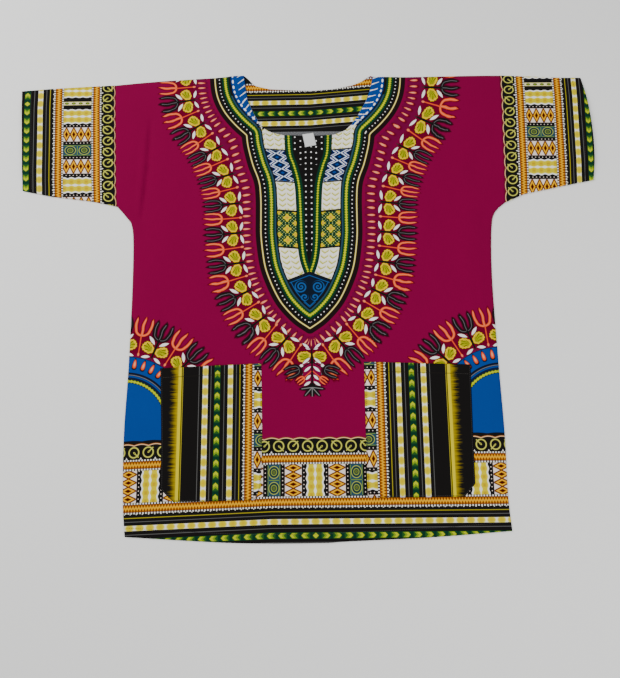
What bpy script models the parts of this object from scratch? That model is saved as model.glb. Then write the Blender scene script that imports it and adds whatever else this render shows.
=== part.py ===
"""A dashiki shirt laid out flat on its back, sleeves out to the sides.

Front and back are cut with short dropped caps. Two tubes of border print are sewn to the caps as
sleeves, two patch pockets lie on the front, a facing lies inside the back neck and a small label
hangs from it. Every piece is a cloth wall of its own.

Measures are in metres. x runs from the centre front line towards the left sleeve of someone
wearing the shirt, and y runs up from the lowest point of the hem. The finished pieces are moved so
that the middle of the whole shirt's footprint is at the origin, with its underside at z = 0.
"""

import math

import bmesh
import bpy
import numpy as np
from mathutils import Vector

WALL = 0.0012            # thickness of one layer of cloth
GAP = 0.0003             # between two pieces that touch or are sewn together
STACK = 2 * WALL + GAP   # two layers lying on each other

# The long edges of the shirt, each as (x, y) from left to right.
HEM = ((-0.2690, 0.0107), (-0.1130, 0.0011), (0.0080, 0.0), (0.0440, 0.0016),
       (0.1710, 0.0067), (0.2810, 0.0140))
SHOULDERS = ((-0.3169, 0.7220), (-0.2500, 0.7281), (-0.1370, 0.7350), (-0.1090, 0.7366),
             (0.1090, 0.7326), (0.2630, 0.7340), (0.3115, 0.7340))

# Side seams, the curve under the arm and the line where a sleeve is sewn on.
# row, left x, left y, right x, right y
SIDES = (("hem corner", -0.2690, 0.0107, 0.2810, 0.0140),
         ("border", -0.2740, 0.0620, 0.2785, 0.0620),
         ("ring band", -0.2768, 0.1550, 0.2795, 0.1550),
         ("pocket mouth", -0.2745, 0.2560, 0.2775, 0.2560),
         ("chest", -0.2744, 0.3900, 0.2764, 0.3900),
         ("side seam top", -0.2779, 0.4690, 0.2810, 0.4720),
         ("arm curve", -0.2885, 0.4907, 0.2885, 0.4970),
         ("arm corner", -0.3050, 0.5110, 0.3048, 0.5120),
         ("shoulder", -0.3169, 0.7220, 0.3115, 0.7340))

# Sleeves, from the seam out to the open cuff.
# row, underside x, underside y, top fold x, top fold y, bow of the row away from the body
SLEEVES = {"left": (("seam", -0.3050, 0.5110, -0.3169, 0.7220, 0.0),
                    ("ring band", -0.3420, 0.5195, -0.3500, 0.7205, 0.0),
                    ("ladder", -0.4100, 0.5290, -0.4190, 0.7168, 0.0),
                    ("cuff", -0.4543, 0.5386, -0.4687, 0.7128, 0.0)),
           "right": (("seam", 0.3048, 0.5120, 0.3115, 0.7340, 0.0),
                     ("ring band", 0.3343, 0.5255, 0.3420, 0.7326, 0.001),
                     ("ladder", 0.3967, 0.5388, 0.4080, 0.7290, 0.004),
                     ("cuff", 0.4470, 0.5487, 0.4423, 0.7287, 0.008))}

# The cut edges of the neck, from one shoulder to the other.
FRONT_NECK = ((-0.1085, 0.7420), (-0.1010, 0.6920), (-0.0910, 0.6680), (-0.0780, 0.6440),
              (-0.0620, 0.6340), (-0.0440, 0.6295), (0.0, 0.6275), (0.0380, 0.6295),
              (0.0560, 0.6370), (0.0670, 0.6480), (0.0810, 0.6710), (0.0920, 0.6920),
              (0.0990, 0.7140), (0.1045, 0.7420))
BACK_NECK = ((-0.1110, 0.7420), (-0.0900, 0.7190), (-0.0650, 0.7125), (0.0, 0.7090),
             (0.0400, 0.7120), (0.0700, 0.7185), (0.0850, 0.7250), (0.1080, 0.7420))

# The facing inside the back neck reaches under the front's neck edge.
FACING_END = 0.118       # half its width
FACING_LOW = 0.6315      # its lower, overlocked edge
FACING_LIFT = WALL + GAP
PLACKET_LOW = 0.580      # the front lies as flat down to here, under the label

# Patch pockets, from the bottom up to the mouth, with their clipped lower corners.
# row, outer x, outer y, inner x, inner y
POCKETS = {"left": (("bottom", -0.2010, 0.0585, -0.0850, 0.0600),
                    ("corner", -0.2195, 0.0760, -0.0760, 0.0780),
                    ("middle", -0.2215, 0.1550, -0.0745, 0.1550),
                    ("mouth", -0.2260, 0.2520, -0.0765, 0.2580)),
           "right": (("bottom", 0.2150, 0.0620, 0.0785, 0.0620),
                     ("corner", 0.2315, 0.0800, 0.0765, 0.0800),
                     ("middle", 0.2325, 0.1600, 0.0765, 0.1600),
                     ("mouth", 0.2345, 0.2535, 0.0765, 0.2590))}

LABEL_TOP = Vector((-0.0045, 0.6365))    # middle of the label's sewn end
LABEL_WIDTH = 0.017
LABEL_LENGTH = 0.027
LABEL_TURN = 0.20                        # radians, its free end to the right
LABEL_WALL = 0.0010
LABEL_STEP = (0.6290, 0.6335)            # it rises onto the front between these heights

# The upper layer lies a little off the lower one, and flat along the outer edges.
CROWN = 0.0022
CROWN_REACH = 0.040

# Broad soft folds of the front.
# name, from x, from y, to x, to y, half width, height
FOLDS = (("left chest trough", -0.262, 0.640, -0.262, 0.470, 0.022, -0.0012),
         ("left chest ridge", -0.215, 0.600, -0.225, 0.400, 0.035, 0.0009),
         ("belly ridge", -0.210, 0.430, -0.165, 0.300, 0.035, 0.0008),
         ("right side ridge", 0.245, 0.600, 0.240, 0.330, 0.030, 0.0009),
         ("right arm trough", 0.300, 0.640, 0.235, 0.520, 0.028, -0.0009),
         ("middle ridge", 0.010, 0.235, 0.000, 0.090, 0.050, 0.0007))

COLUMNS = 24             # panel facets from side to side
ROW_HEIGHT = 0.028       # the most that a panel facet measures up the shirt

MAGENTA = (0.27, 0.0, 0.065)
BORDER = (0.30, 0.20, 0.04)
BLACK = (0.02, 0.018, 0.015)
WHITE = (0.78, 0.78, 0.76)


def on_line(rows, x):
    """Height of an edge at x."""
    return float(np.interp(x, [row[0] for row in rows], [row[1] for row in rows]))


def on_rows(rows, v):
    """Both ends of the line across a piece, at v from 0 on its first row to 1 on its last."""
    start = [row[2] for row in rows]
    share = [(height - start[0]) / (start[-1] - start[0]) for height in start]
    near_x, near_y, far_x, far_y = (float(np.interp(v, share, [row[i] for row in rows]))
                                    for i in (1, 2, 3, 4))
    return Vector((near_x, near_y)), Vector((far_x, far_y))


def shirt_edge():
    """The closed edges that the upper layer comes down to: hem, sides, sleeve folds, shoulders."""
    lines = [[Vector(point) for point in HEM], [Vector(point) for point in SHOULDERS]]
    for side, column in (("left", 1), ("right", 3)):
        seam = [Vector(row[column:column + 2]) for row in SIDES[:8]]
        under = [Vector(row[1:3]) for row in SLEEVES[side][1:]]
        fold = [Vector(row[3:5]) for row in SLEEVES[side]]
        lines += [seam + under, fold]
    return lines


EDGE = shirt_edge()


def from_segment(point, start, end):
    """Distance of a point from a straight line, and how far along it the nearest place is."""
    along = end - start
    share = min(max((point - start).dot(along) / along.length_squared, 0.0), 1.0)
    return (point - start - along * share).length, share


def smooth(share):
    share = min(max(share, 0.0), 1.0)
    return share * share * (3 - 2 * share)


def lift(x, y):
    """How far the upper layer lies above its lowest place, which is GAP over the lower layer."""
    point = Vector((x, y))
    inside = min(from_segment(point, a, b)[0] for line in EDGE for a, b in zip(line, line[1:]))
    height = CROWN * smooth(inside / CROWN_REACH)
    for _, from_x, from_y, to_x, to_y, half_width, rise in FOLDS:
        away, share = from_segment(point, Vector((from_x, from_y)), Vector((to_x, to_y)))
        taper = math.sin(math.pi * (0.15 + 0.7 * share))
        height += rise * taper * smooth(1 - away / half_width) * smooth(inside / CROWN_REACH)
    beyond = math.hypot(max(abs(x) - FACING_END, 0.0), max(PLACKET_LOW - y, 0.0))
    over_facing = smooth(1 - beyond / CROWN_REACH)
    return height * (1 - over_facing) + FACING_LIFT * over_facing


def colour(piece, name, base, roughness=0.85):
    material = bpy.data.materials.new(name)
    material.use_nodes = True
    shader = material.node_tree.nodes["Principled BSDF"]
    shader.inputs["Base Color"].default_value = (*base, 1.0)
    shader.inputs["Roughness"].default_value = roughness
    shader.inputs["Metallic"].default_value = 0.0
    piece.data.materials.append(material)


def finish(name, mesh_edit, base):
    """Turns an edited mesh into the named cloth piece."""
    bmesh.ops.recalc_face_normals(mesh_edit, faces=mesh_edit.faces)
    mesh = bpy.data.meshes.new(name)
    mesh_edit.to_mesh(mesh)
    mesh_edit.free()
    piece = bpy.data.objects.new(name, mesh)
    bpy.context.scene.collection.objects.link(piece)
    colour(piece, name + " cloth", base)
    return piece


def panel(name, columns, rows, place, underside, base, wall=WALL):
    """A cloth wall from a grid: place gives x and y for u and v, underside its height there."""
    cloth = bmesh.new()
    bmesh.ops.create_grid(cloth, x_segments=columns, y_segments=rows, size=0.5)
    for vertex in cloth.verts:
        x, y = place(vertex.co.x + 0.5, vertex.co.y + 0.5)
        vertex.co = (x, y, underside(x, y))
    raised = bmesh.ops.extrude_face_region(cloth, geom=cloth.faces[:])
    top = [item for item in raised["geom"] if isinstance(item, bmesh.types.BMVert)]
    bmesh.ops.translate(cloth, verts=top, vec=(0, 0, wall))
    return finish(name, cloth, base)


def body_rows():
    """Shares of the height at which a panel has a row of points, one at each row of SIDES."""
    heights = [row[2] for row in SIDES]
    shares = [0.0]
    for low, high in zip(heights, heights[1:]):
        steps = math.ceil((high - low) / ROW_HEIGHT)
        for step in range(1, steps + 1):
            height = low + (high - low) * step / steps
            shares.append((height - heights[0]) / (heights[-1] - heights[0]))
    return shares


BODY_ROWS = body_rows()


def on_body(u, row):
    """A place on the front or back: u from left to right, row from the hem to the shoulders."""
    v = float(np.interp(row, np.linspace(0.0, 1.0, len(BODY_ROWS)), BODY_ROWS))
    left, right = on_rows(SIDES, v)
    x = left.x + (right.x - left.x) * u
    y = left.y + (right.y - left.y) * u
    bottom, top = HEM, SHOULDERS
    hem_line = bottom[0][1] + (bottom[-1][1] - bottom[0][1]) * u
    top_line = top[0][1] + (top[-1][1] - top[0][1]) * u
    y += (1 - v) * (on_line(bottom, x) - hem_line) + v * (on_line(top, x) - top_line)
    return x, y


def cut_neck(piece, line):
    """Cuts the neck out of a panel along a line of points."""
    cutter = bmesh.new()
    loop = [cutter.verts.new((x, y, -0.01)) for x, y in line]
    mouth = cutter.faces.new(loop)
    raised = bmesh.ops.extrude_face_region(cutter, geom=[mouth])
    top = [item for item in raised["geom"] if isinstance(item, bmesh.types.BMVert)]
    bmesh.ops.translate(cutter, verts=top, vec=(0, 0, 0.03))
    bmesh.ops.recalc_face_normals(cutter, faces=cutter.faces)
    mesh = bpy.data.meshes.new(piece.name + " neck cutter")
    cutter.to_mesh(mesh)
    cutter.free()
    tool = bpy.data.objects.new(mesh.name, mesh)
    tool.hide_render = True
    tool.display_type = "WIRE"
    bpy.context.scene.collection.objects.link(tool)
    cut = piece.modifiers.new("neck", "BOOLEAN")
    cut.operation = "DIFFERENCE"
    cut.solver = "EXACT"
    cut.object = tool


def make_body():
    rows = len(BODY_ROWS) - 1
    back = panel("back", COLUMNS // 2, rows, on_body, lambda x, y: 0.0, MAGENTA)
    front = panel("front", COLUMNS, rows, on_body, lambda x, y: WALL + GAP + lift(x, y), MAGENTA)
    cut_neck(back, BACK_NECK)
    cut_neck(front, FRONT_NECK)


def make_facing():
    """Lies on the back, from its neck edge down to the overlocked edge."""
    def place(u, v):
        x = FACING_END * (2 * u - 1)
        top = min(on_line(BACK_NECK, x), on_line(SHOULDERS, x) - GAP) - GAP
        return x, FACING_LOW + (top - FACING_LOW) * v
    panel("back_neck_facing", 20, 3, place, lambda x, y: WALL + GAP, BLACK)


def make_label():
    """Sewn to the facing's lower edge, and turned out over the front's neck edge."""
    across = Vector((math.cos(LABEL_TURN), math.sin(LABEL_TURN)))
    down = Vector((math.sin(LABEL_TURN), -math.cos(LABEL_TURN)))
    on_facing = WALL + GAP + WALL + GAP
    on_front = on_facing + WALL + GAP

    def place(u, v):
        point = LABEL_TOP + across * (LABEL_WIDTH * (u - 0.5)) + down * (LABEL_LENGTH * (1 - v))
        return point.x, point.y
    panel("neck_label", 3, 24, place,
          lambda x, y: float(np.interp(y, LABEL_STEP, (on_front, on_facing))), WHITE, LABEL_WALL)


def make_pockets():
    for side, rows in POCKETS.items():
        def place(u, v, rows=rows):
            outer, inner = on_rows(rows, v)
            point = outer.lerp(inner, u)
            return point.x, point.y
        panel("pocket_" + side, 6, 9, place,
              lambda x, y: WALL + GAP + lift(x, y) + WALL + GAP, BORDER)


def sleeve_ring(row, outward):
    """One section of a sleeve's flat tube: pairs of an outer and an inner point, all round.

    The first half of the list is the under layer, from the underside seam to the top fold. The
    second half is the upper layer, on its way back.
    """
    _, low_x, low_y, high_x, high_y, bow = row
    low, high = Vector((low_x, low_y)), Vector((high_x, high_y))
    across = (high - low).normalized()
    width = (high - low).length
    radius = STACK / 2
    inner_radius = radius - WALL
    shares = [0.0, 0.06, 0.12, 0.25, 0.4, 0.6, 0.75, 0.88, 0.94, 1.0]
    ring = []

    def add(distance, outer_height, inner_distance, inner_height):
        share = distance / width
        shift = Vector((outward * 4 * bow * share * (1 - share), 0.0))
        outer = low + across * distance + shift
        inner = low + across * inner_distance + shift
        ring.append(((outer.x, outer.y, outer_height), (inner.x, inner.y, inner_height)))

    def fold(centre, first_angle):
        for step in (1, 2, 3):
            angle = first_angle + math.pi * step / 4
            reach, rise = math.cos(angle), math.sin(angle)
            add(centre + radius * reach, radius + radius * rise,
                centre + inner_radius * reach, radius + inner_radius * rise)

    for share in shares:
        distance = radius + (width - 2 * radius) * share
        add(distance, 0.0, distance, WALL)
    fold(width - radius, -math.pi / 2)
    for share in reversed(shares):
        distance = radius + (width - 2 * radius) * share
        place = low + across * distance
        rise = lift(place.x, place.y)
        add(distance, STACK + rise, distance, WALL + GAP + rise)
    fold(radius, math.pi / 2)
    return ring


def make_sleeve(side):
    outward = -1 if side == "left" else 1
    rows = SLEEVES[side]
    seam, band = rows[0], rows[1]
    clear = ("seam", seam[1] + outward * GAP, seam[2], seam[3] + outward * GAP, seam[4], seam[5])
    half_way = ("half band",) + tuple((a + b) / 2 for a, b in zip(clear[1:], band[1:]))
    cloth = bmesh.new()
    rings = []
    for row in (clear, half_way) + rows[1:]:
        pairs = sleeve_ring(row, outward)
        rings.append(([cloth.verts.new(outer) for outer, _ in pairs],
                      [cloth.verts.new(inner) for _, inner in pairs]))
    count = len(rings[0][0])
    for layer in (0, 1):
        for first, second in zip(rings, rings[1:]):
            a, b = first[layer], second[layer]
            for i in range(count):
                j = (i + 1) % count
                cloth.faces.new((a[i], a[j], b[j], b[i]))
    for outer, inner in (rings[0], rings[-1]):
        for i in range(count):
            j = (i + 1) % count
            cloth.faces.new((outer[i], outer[j], inner[j], inner[i]))
    finish("sleeve_" + side, cloth, BORDER)


def centre_footprint():
    """Moves every mesh so that the middle of the shirt's footprint is at the origin."""
    pieces = [item for item in bpy.data.objects if item.type == "MESH"]
    corners = [vertex.co for piece in pieces if not piece.hide_render
               for vertex in piece.data.vertices]
    middle_x = (min(co.x for co in corners) + max(co.x for co in corners)) / 2
    middle_y = (min(co.y for co in corners) + max(co.y for co in corners)) / 2
    for piece in pieces:
        for vertex in piece.data.vertices:
            vertex.co.x -= middle_x
            vertex.co.y -= middle_y


for item in list(bpy.data.objects):
    bpy.data.objects.remove(item)
make_body()
make_facing()
make_label()
make_pockets()
make_sleeve("left")
make_sleeve("right")
centre_footprint()
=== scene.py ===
import math

import bmesh
import bpy
import numpy as np
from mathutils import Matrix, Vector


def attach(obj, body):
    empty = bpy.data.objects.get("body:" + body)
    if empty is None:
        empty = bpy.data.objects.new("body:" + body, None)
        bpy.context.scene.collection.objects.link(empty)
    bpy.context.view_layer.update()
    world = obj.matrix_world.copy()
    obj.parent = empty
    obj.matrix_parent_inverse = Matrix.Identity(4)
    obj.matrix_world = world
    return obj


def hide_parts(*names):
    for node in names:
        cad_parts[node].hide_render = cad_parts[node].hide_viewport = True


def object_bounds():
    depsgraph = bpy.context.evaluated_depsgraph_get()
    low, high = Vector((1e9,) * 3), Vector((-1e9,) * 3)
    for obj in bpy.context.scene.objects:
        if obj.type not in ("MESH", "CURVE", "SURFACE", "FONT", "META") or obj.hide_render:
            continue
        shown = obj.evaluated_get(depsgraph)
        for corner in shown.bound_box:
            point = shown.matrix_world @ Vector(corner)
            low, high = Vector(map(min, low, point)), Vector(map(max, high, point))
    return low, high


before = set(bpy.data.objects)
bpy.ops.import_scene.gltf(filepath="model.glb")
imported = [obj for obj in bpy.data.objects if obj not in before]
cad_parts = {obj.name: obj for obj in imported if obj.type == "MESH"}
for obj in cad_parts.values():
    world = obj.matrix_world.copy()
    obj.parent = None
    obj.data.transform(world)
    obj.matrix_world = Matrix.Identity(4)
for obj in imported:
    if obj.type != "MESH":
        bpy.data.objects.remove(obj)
cad_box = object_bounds()

# --- Cloth ------------------------------------------------------------------------------------
# Plain-woven cotton, printed on one side with a wax-style design. Every piece of the shirt is cut
# from it, with the print's place on the cloth kept as attributes of the piece's points.

MAGENTA = (0.183, 0.0002, 0.0385)
MAGENTA_REVERSE = (0.215, 0.020, 0.070)
BLEED = 0.0003                  # half the width over which a dye fades out at its edge
THREAD = 0.00042                # from one thread of the weave to the next
SLUBS = ((60.0, 1400.0, 1.0), (1400.0, 60.0, 1.0))      # thick places per metre in x and y
FADING = 14.0                   # uneven patches per metre
BUMP_HEIGHT = 0.00010


class Dye:
    """A socket of a material's node tree, so that shader maths reads as expressions."""

    def __init__(self, tree, socket=None):
        self.tree = tree
        self.socket = socket

    def add(self, kind, settings, values, output=0):
        """Adds any node: its settings first, then the values or links of its sockets."""
        node = self.tree.nodes.new("ShaderNode" + kind)
        for name, setting in settings.items():
            setattr(node, name, setting)
        for name, value in values.items():
            if isinstance(value, Dye):
                self.tree.links.new(value.socket, node.inputs[name])
            else:
                node.inputs[name].default_value = value
        return Dye(self.tree, node.outputs[output])

    def math(self, operation, *others):
        return self.add("Math", {"operation": operation}, dict(enumerate((self,) + others)))

    def __add__(self, other):
        return self.math("ADD", other)

    def __sub__(self, other):
        return self.math("SUBTRACT", other)

    def __rsub__(self, other):
        return self.add("Math", {"operation": "SUBTRACT"}, {0: other, 1: self})

    def __mul__(self, other):
        return self.math("MULTIPLY", other)

    def __truediv__(self, other):
        return self.math("DIVIDE", other)

    def __pow__(self, other):
        return self.math("POWER", other)

    def __abs__(self):
        return self.math("ABSOLUTE")

    def __and__(self, other):
        return self.math("MINIMUM", other)

    def __or__(self, other):
        return self.math("MAXIMUM", other)

    __radd__ = __add__
    __rmul__ = __mul__

    def repeated(self, pitch):
        """Distance from the middle of the nearest of many places a pitch apart."""
        return self.math("WRAP", pitch / 2, -pitch / 2)

    def mirrored(self, half):
        """Runs from 0 to half and back again."""
        return self.math("PINGPONG", half)

    def edge(self, limit, bleed, before, after):
        """Goes from one value to another at a limit, over an edge as wide as the dye bleeds."""
        return self.add("MapRange", {}, {"Value": self, "From Min": limit - bleed,
                                         "From Max": limit + bleed, "To Min": before, "To Max": after})

    def below(self, limit, bleed=BLEED):
        """A mask: 1 below the limit and 0 above it."""
        return self.edge(limit, bleed, 1.0, 0.0)

    def above(self, limit, bleed=BLEED):
        return self.edge(limit, bleed, 0.0, 1.0)

    def within(self, low, high, bleed=BLEED):
        return abs(self - (low + high) / 2).below((high - low) / 2, bleed)

    def from_point(self, other):
        """Distance from zero of the place that the two values give."""
        place = self.add("CombineXYZ", {}, {0: self, 1: other})
        return place.add("VectorMath", {"operation": "LENGTH"}, {0: place}, output=1)

    def parts(self):
        """The three values of a place."""
        split = self.add("SeparateXYZ", {}, {0: self})
        return [Dye(self.tree, split.socket.node.outputs[i]) for i in range(3)]

    def attribute(self, name):
        """The three values that the cloth's points keep under a name."""
        return self.add("Attribute", {"attribute_name": name}, {}, output=1).parts()

    def under(self, dye, mask):
        """This colour with a dye printed over it where the mask is 1."""
        dye = dye if isinstance(dye, Dye) else (*dye, 1.0)
        return mask.add("Mix", {"data_type": "RGBA"}, {0: mask, 6: self, 7: dye}, output=2)

    def plain(self, dye):
        """A single colour to print over."""
        return self.add("Mix", {"data_type": "RGBA"}, {0: 0.0, 6: (*dye, 1.0)}, output=2)


def cotton(name, print_of, roughness=0.92, sheen=0.01):
    """Plain-woven cotton: a print, the threads and slubs of the weave, and a dry soft surface."""
    material = bpy.data.materials.new(name)
    material.use_nodes = True
    tree = material.node_tree
    shader = tree.nodes["Principled BSDF"]
    start = Dye(tree)
    place = start.add("TexCoord", {}, {}, output=3)
    x, y, _ = place.parts()
    weave = (x * (2 * math.pi / THREAD)).math("SINE") * (y * (2 * math.pi / THREAD)).math("SINE")
    along_x, along_y = (place.add("Mapping", {}, {"Vector": place, "Scale": scale}) for scale in SLUBS)
    slub_x, slub_y = (place.add("TexNoise", {}, {"Vector": stretched, "Scale": 1.0, "Detail": 1.0})
                      for stretched in (along_x, along_y))
    fading = place.add("TexNoise", {}, {"Vector": place, "Scale": FADING, "Detail": 3.0})
    slubs = slub_x + slub_y
    shade = 0.86 + weave * 0.05 + slubs * 0.09 + fading * 0.10
    colour = print_of(start)
    grey = place.add("CombineColor", {}, {0: shade, 1: shade, 2: shade})
    tinted = grey.add("Mix", {"data_type": "RGBA", "blend_type": "MULTIPLY"},
                      {0: 1.0, 6: colour, 7: grey}, output=2)
    tree.links.new(tinted.socket, shader.inputs["Base Color"])
    worn = roughness + (fading - 0.5) * 0.12 - slubs * 0.03
    tree.links.new(worn.socket, shader.inputs["Roughness"])
    height = weave * 0.35 + slubs * 0.8
    bump = height.add("Bump", {}, {"Height": height, "Strength": 0.25, "Distance": BUMP_HEIGHT})
    tree.links.new(bump.socket, shader.inputs["Normal"])
    shader.inputs["Sheen Weight"].default_value = sheen
    shader.inputs["Sheen Roughness"].default_value = 0.5
    shader.inputs["Specular IOR Level"].default_value = 0.04
    return material


# --- Border print -----------------------------------------------------------------------------
# The cloth is printed with one wide border along its selvage: scrolled rings, a ladder of blocks
# between two saw-toothed orange lines, then beads and arrows. The hem, sleeves, pockets and
# facing are all cut from it. q crosses the border from its scalloped inner edge, p runs along it
# from the place where the print is mirrored.

BLACK = (0.0070, 0.0062, 0.0060)
SOOT = (0.022, 0.019, 0.018)
GREY = (0.180, 0.180, 0.175)
CREAM = (0.80, 0.74, 0.33)
PALE = (0.88, 0.85, 0.77)
WHITE = (0.88, 0.87, 0.85)
YELLOW = (0.62, 0.51, 0.0001)
PALE_YELLOW = (0.76, 0.67, 0.060)
LEMON = (0.43, 0.48, 0.0015)
ORANGE = (0.66, 0.245, 0.0004)
GOLD = (0.76, 0.37, 0.0010)
RUST = (0.100, 0.0150, 0.0060)
TOOTH_BROWN = (0.160, 0.0370, 0.0020)
DEEP_GREEN = (0.0021, 0.0310, 0.0150)
GREEN = (0.0200, 0.1000, 0.0120)
LEAF = (0.170, 0.280, 0.0100)
TEAL = (0.0180, 0.0560, 0.0860)
PINK = (0.86, 0.72, 0.62)
RING_OLIVE = (0.50, 0.50, 0.080)
TAN = (0.80, 0.48, 0.24)
DARK_YELLOW = (0.50, 0.33, 0.0001)
DARK_RUST = (0.050, 0.0015, 0.0010)
DEEP_TEAL = (0.0060, 0.0280, 0.0400)
OVAL_RIM = (0.38, 0.42, 0.060)
OVAL_RING = (0.270, 0.330, 0.0300)
NET_GREEN = (0.150, 0.190, 0.0060)
DULL_YELLOW = (0.40, 0.34, 0.020)
BEAD_HEART = (0.60, 0.42, 0.0001)
DULL_CREAM = (0.46, 0.38, 0.030)
FRINGE_DARK = (0.200, 0.140, 0.0020)
FRINGE_BRIGHT = (0.40, 0.29, 0.0015)

# line, from q, to q
BORDER = {"rings": (0.0030, 0.0225), "first orange": (0.0258, 0.0352),
          "ladder": (0.0385, 0.0835), "second orange": (0.0868, 0.0962),
          "sparks": (0.0992, 0.1002), "yellow line": (0.1042, 0.1052),
          "inner beads": (0.1152, 0.1222), "arrows": (0.1335, 0.1425),
          "outer beads": (0.1520, 0.1595), "cream line": (0.1886, 0.1894),
          "fringe": (0.1910, 0.2080)}
GREY_LINES = (0.1100, 0.1278, 0.1474, 0.1650)
RING_PITCH = 0.0210
TOOTH_PITCH = 0.0042
TOOTH_DEPTH = 0.0048
TOOTH_HALF = TOOTH_PITCH * 0.48
DOT_ROW = 0.0019                # from the edge of an orange line to the middle of its white dots
RING_MIDDLE = 0.0125
RING_RADIUS = 0.0072
LOBE_PITCH = 0.0117             # across a yellow block
DIAMOND = (0.0122, 0.0058)      # half length and half width
OVAL = (0.0080, 0.0092)
OVAL_MIDDLE = 0.0112            # from the middle of a teal block
BEAD = (0.0062, 0.0046)
HAIR = 0.0009                   # from one hair of the fringe to the next
BEAD_PITCH = 0.0147
ARROW_PITCH = 0.0163
# block, from t, to t: t runs from the middle of a yellow block to the middle of a teal one
LADDER = {"yellow": (0.0, 0.0130), "diamonds": (0.0195, 0.0435), "teal": (0.0500, 0.0593)}
LADDER_HALF = LADDER["teal"][1]
STRAP_HALF = 0.0105             # where a strap of beads takes the place of a ladder block


def orange_line(ground, p, q, line):
    """A zigzag orange line between brown teeth, with a row of white dots along each edge."""
    low, high = BORDER[line]
    half = (high - low) / 2
    shift = q - (low + high) / 2
    off = abs(shift)
    step = abs(p.repeated(TOOTH_PITCH))
    ground = (ground.under(BLACK, off.below(half + 0.0034))
              .under(RUST, off.below(half + 0.0006))
              .under(ORANGE, off.below(half))
              .under(GOLD, off.below(half * 0.35, 0.0008)))
    near_teeth = (half - shift) / TOOTH_DEPTH + step / TOOTH_HALF
    far_teeth = (half + shift) / TOOTH_DEPTH + (TOOTH_PITCH / 2 - step) / TOOTH_HALF
    ground = ground.under(TOOTH_BROWN, (near_teeth & far_teeth).below(1.0, 0.10) & off.below(half))
    dots = abs(step - TOOTH_PITCH / 2).below(0.0011, 0.0002) & abs(off - half - DOT_ROW).below(0.0010)
    return ground.under(PALE, dots)


def ring_band(ground, p, q):
    """Scrolled rings on black, under a scalloped edge."""
    low, high = BORDER["rings"]
    scallop = abs((p * (math.pi / RING_PITCH)).math("COSINE")) * 0.0022
    edge = q + scallop
    ground = (ground.under(BLACK, edge.above(low - 0.0012) & q.below(high + 0.0012))
              .under(TOOTH_BROWN, abs(edge - low + 0.0009).below(0.0008))
              .under(TAN, abs(edge - low).below(0.0006)))
    outward = abs(p)
    turn = ((outward / (2 * RING_PITCH)).math("FRACT") - 0.5).math("SIGN")
    x = (outward - RING_PITCH / 2).repeated(RING_PITCH)
    y = q - RING_MIDDLE
    radius = x.from_point(y)
    ground = ground.under(RING_OLIVE, abs(radius - RING_RADIUS).below(0.0009))
    over = y * turn
    tail, across = (x + over) * -0.7071, (x - over) * 0.7071
    ground = (ground.under(RING_OLIVE, tail.within(0.0030, 0.0100) & abs(across).below(0.0007))
              .under(RING_OLIVE, abs(tail - 0.0070).below(0.0006) & abs(across).below(0.0026)))
    bud = (tail - 0.0012).from_point(across * 1.8)
    ground = (ground.under(RING_OLIVE, bud.below(0.0022))
              .under(BLACK, bud.below(0.0010)))
    spike = (high + 0.0012 - q) / 0.0042 + abs(p.repeated(RING_PITCH)) / 0.0021
    return ground.under(PALE, spike.below(1.0, 0.1) & q.below(high + 0.0012))


def ladder(ground, t, q):
    """The blocks between the orange lines, at t along the ladder."""
    low, high = BORDER["ladder"]
    inside = q.within(low, high)
    middle = (low + high) / 2
    ground = ground.under(BLACK, q.within(low - 0.0014, high + 0.0014))

    _, end = LADDER["yellow"]
    wave = (q * (2 * math.pi / LOBE_PITCH)).math("COSINE")
    block = (t - wave * 0.0009).below(end - 0.0004)
    ground = ground.under(WHITE, block & inside)
    lobe = (t - 0.0056) / (0.0044 + wave * 0.0007)
    ground = (ground.under(PALE_YELLOW, abs(lobe).below(1.12, 0.08) & inside)
              .under(YELLOW, abs(lobe).below(0.96, 0.10) & inside))
    heart = abs(lobe).below(0.45, 0.30) & wave.above(0.2, 0.5)
    ground = ground.under(DARK_YELLOW, heart & inside)
    lens = t / (0.0013 - wave * 0.0009)
    ground = ground.under(PALE, lens.below(0.95, 0.25) & inside)

    start, end = LADDER["diamonds"]
    across, down = abs(t - (start + end) / 2), abs((q - middle + DIAMOND[1]).repeated(2 * DIAMOND[1]))
    lozenge = across / DIAMOND[0] + down / DIAMOND[1]
    strip = t.within(start, end) & inside
    ground = ground.under(PINK, strip)
    for size, dye in ((1.20, RUST), (0.84, GOLD), (0.46, TOOTH_BROWN), (0.36, DARK_RUST)):
        ground = ground.under(dye, lozenge.below(size, 0.05) & strip)

    start, end = LADDER["teal"]
    block = t.above(start) & inside
    ground = ground.under(TEAL, block)
    along, out = end - t, abs(q - middle) - OVAL_MIDDLE
    oval = (along / OVAL[0]).from_point(out / OVAL[1])
    ground = (ground.under(DEEP_TEAL, oval.below(0.94, 0.03) & block)
              .under(OVAL_RIM, oval.within(0.86, 0.97, 0.03) & block)
              .under(OVAL_RING, oval.within(0.42, 0.54, 0.03) & block))
    net = abs((along + out).repeated(0.0024)) | abs((along - out).repeated(0.0024))
    ground = (ground.under(NET_GREEN, net.above(0.00080, 0.0002) & oval.below(0.30, 0.04) & block)
              .under(LEAF, abs(q - middle).below(0.0005) & along.below(0.0080) & block)
              .under(LEAF, abs(along - 0.0084).below(0.0004) & abs(out).below(0.0098) & block))

    for level in (0.0163, 0.0468):
        row = abs(t - level).from_point(q.repeated(0.0056))
        ground = ground.under(PINK, row.below(0.0007) & inside)
    return ground


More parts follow.
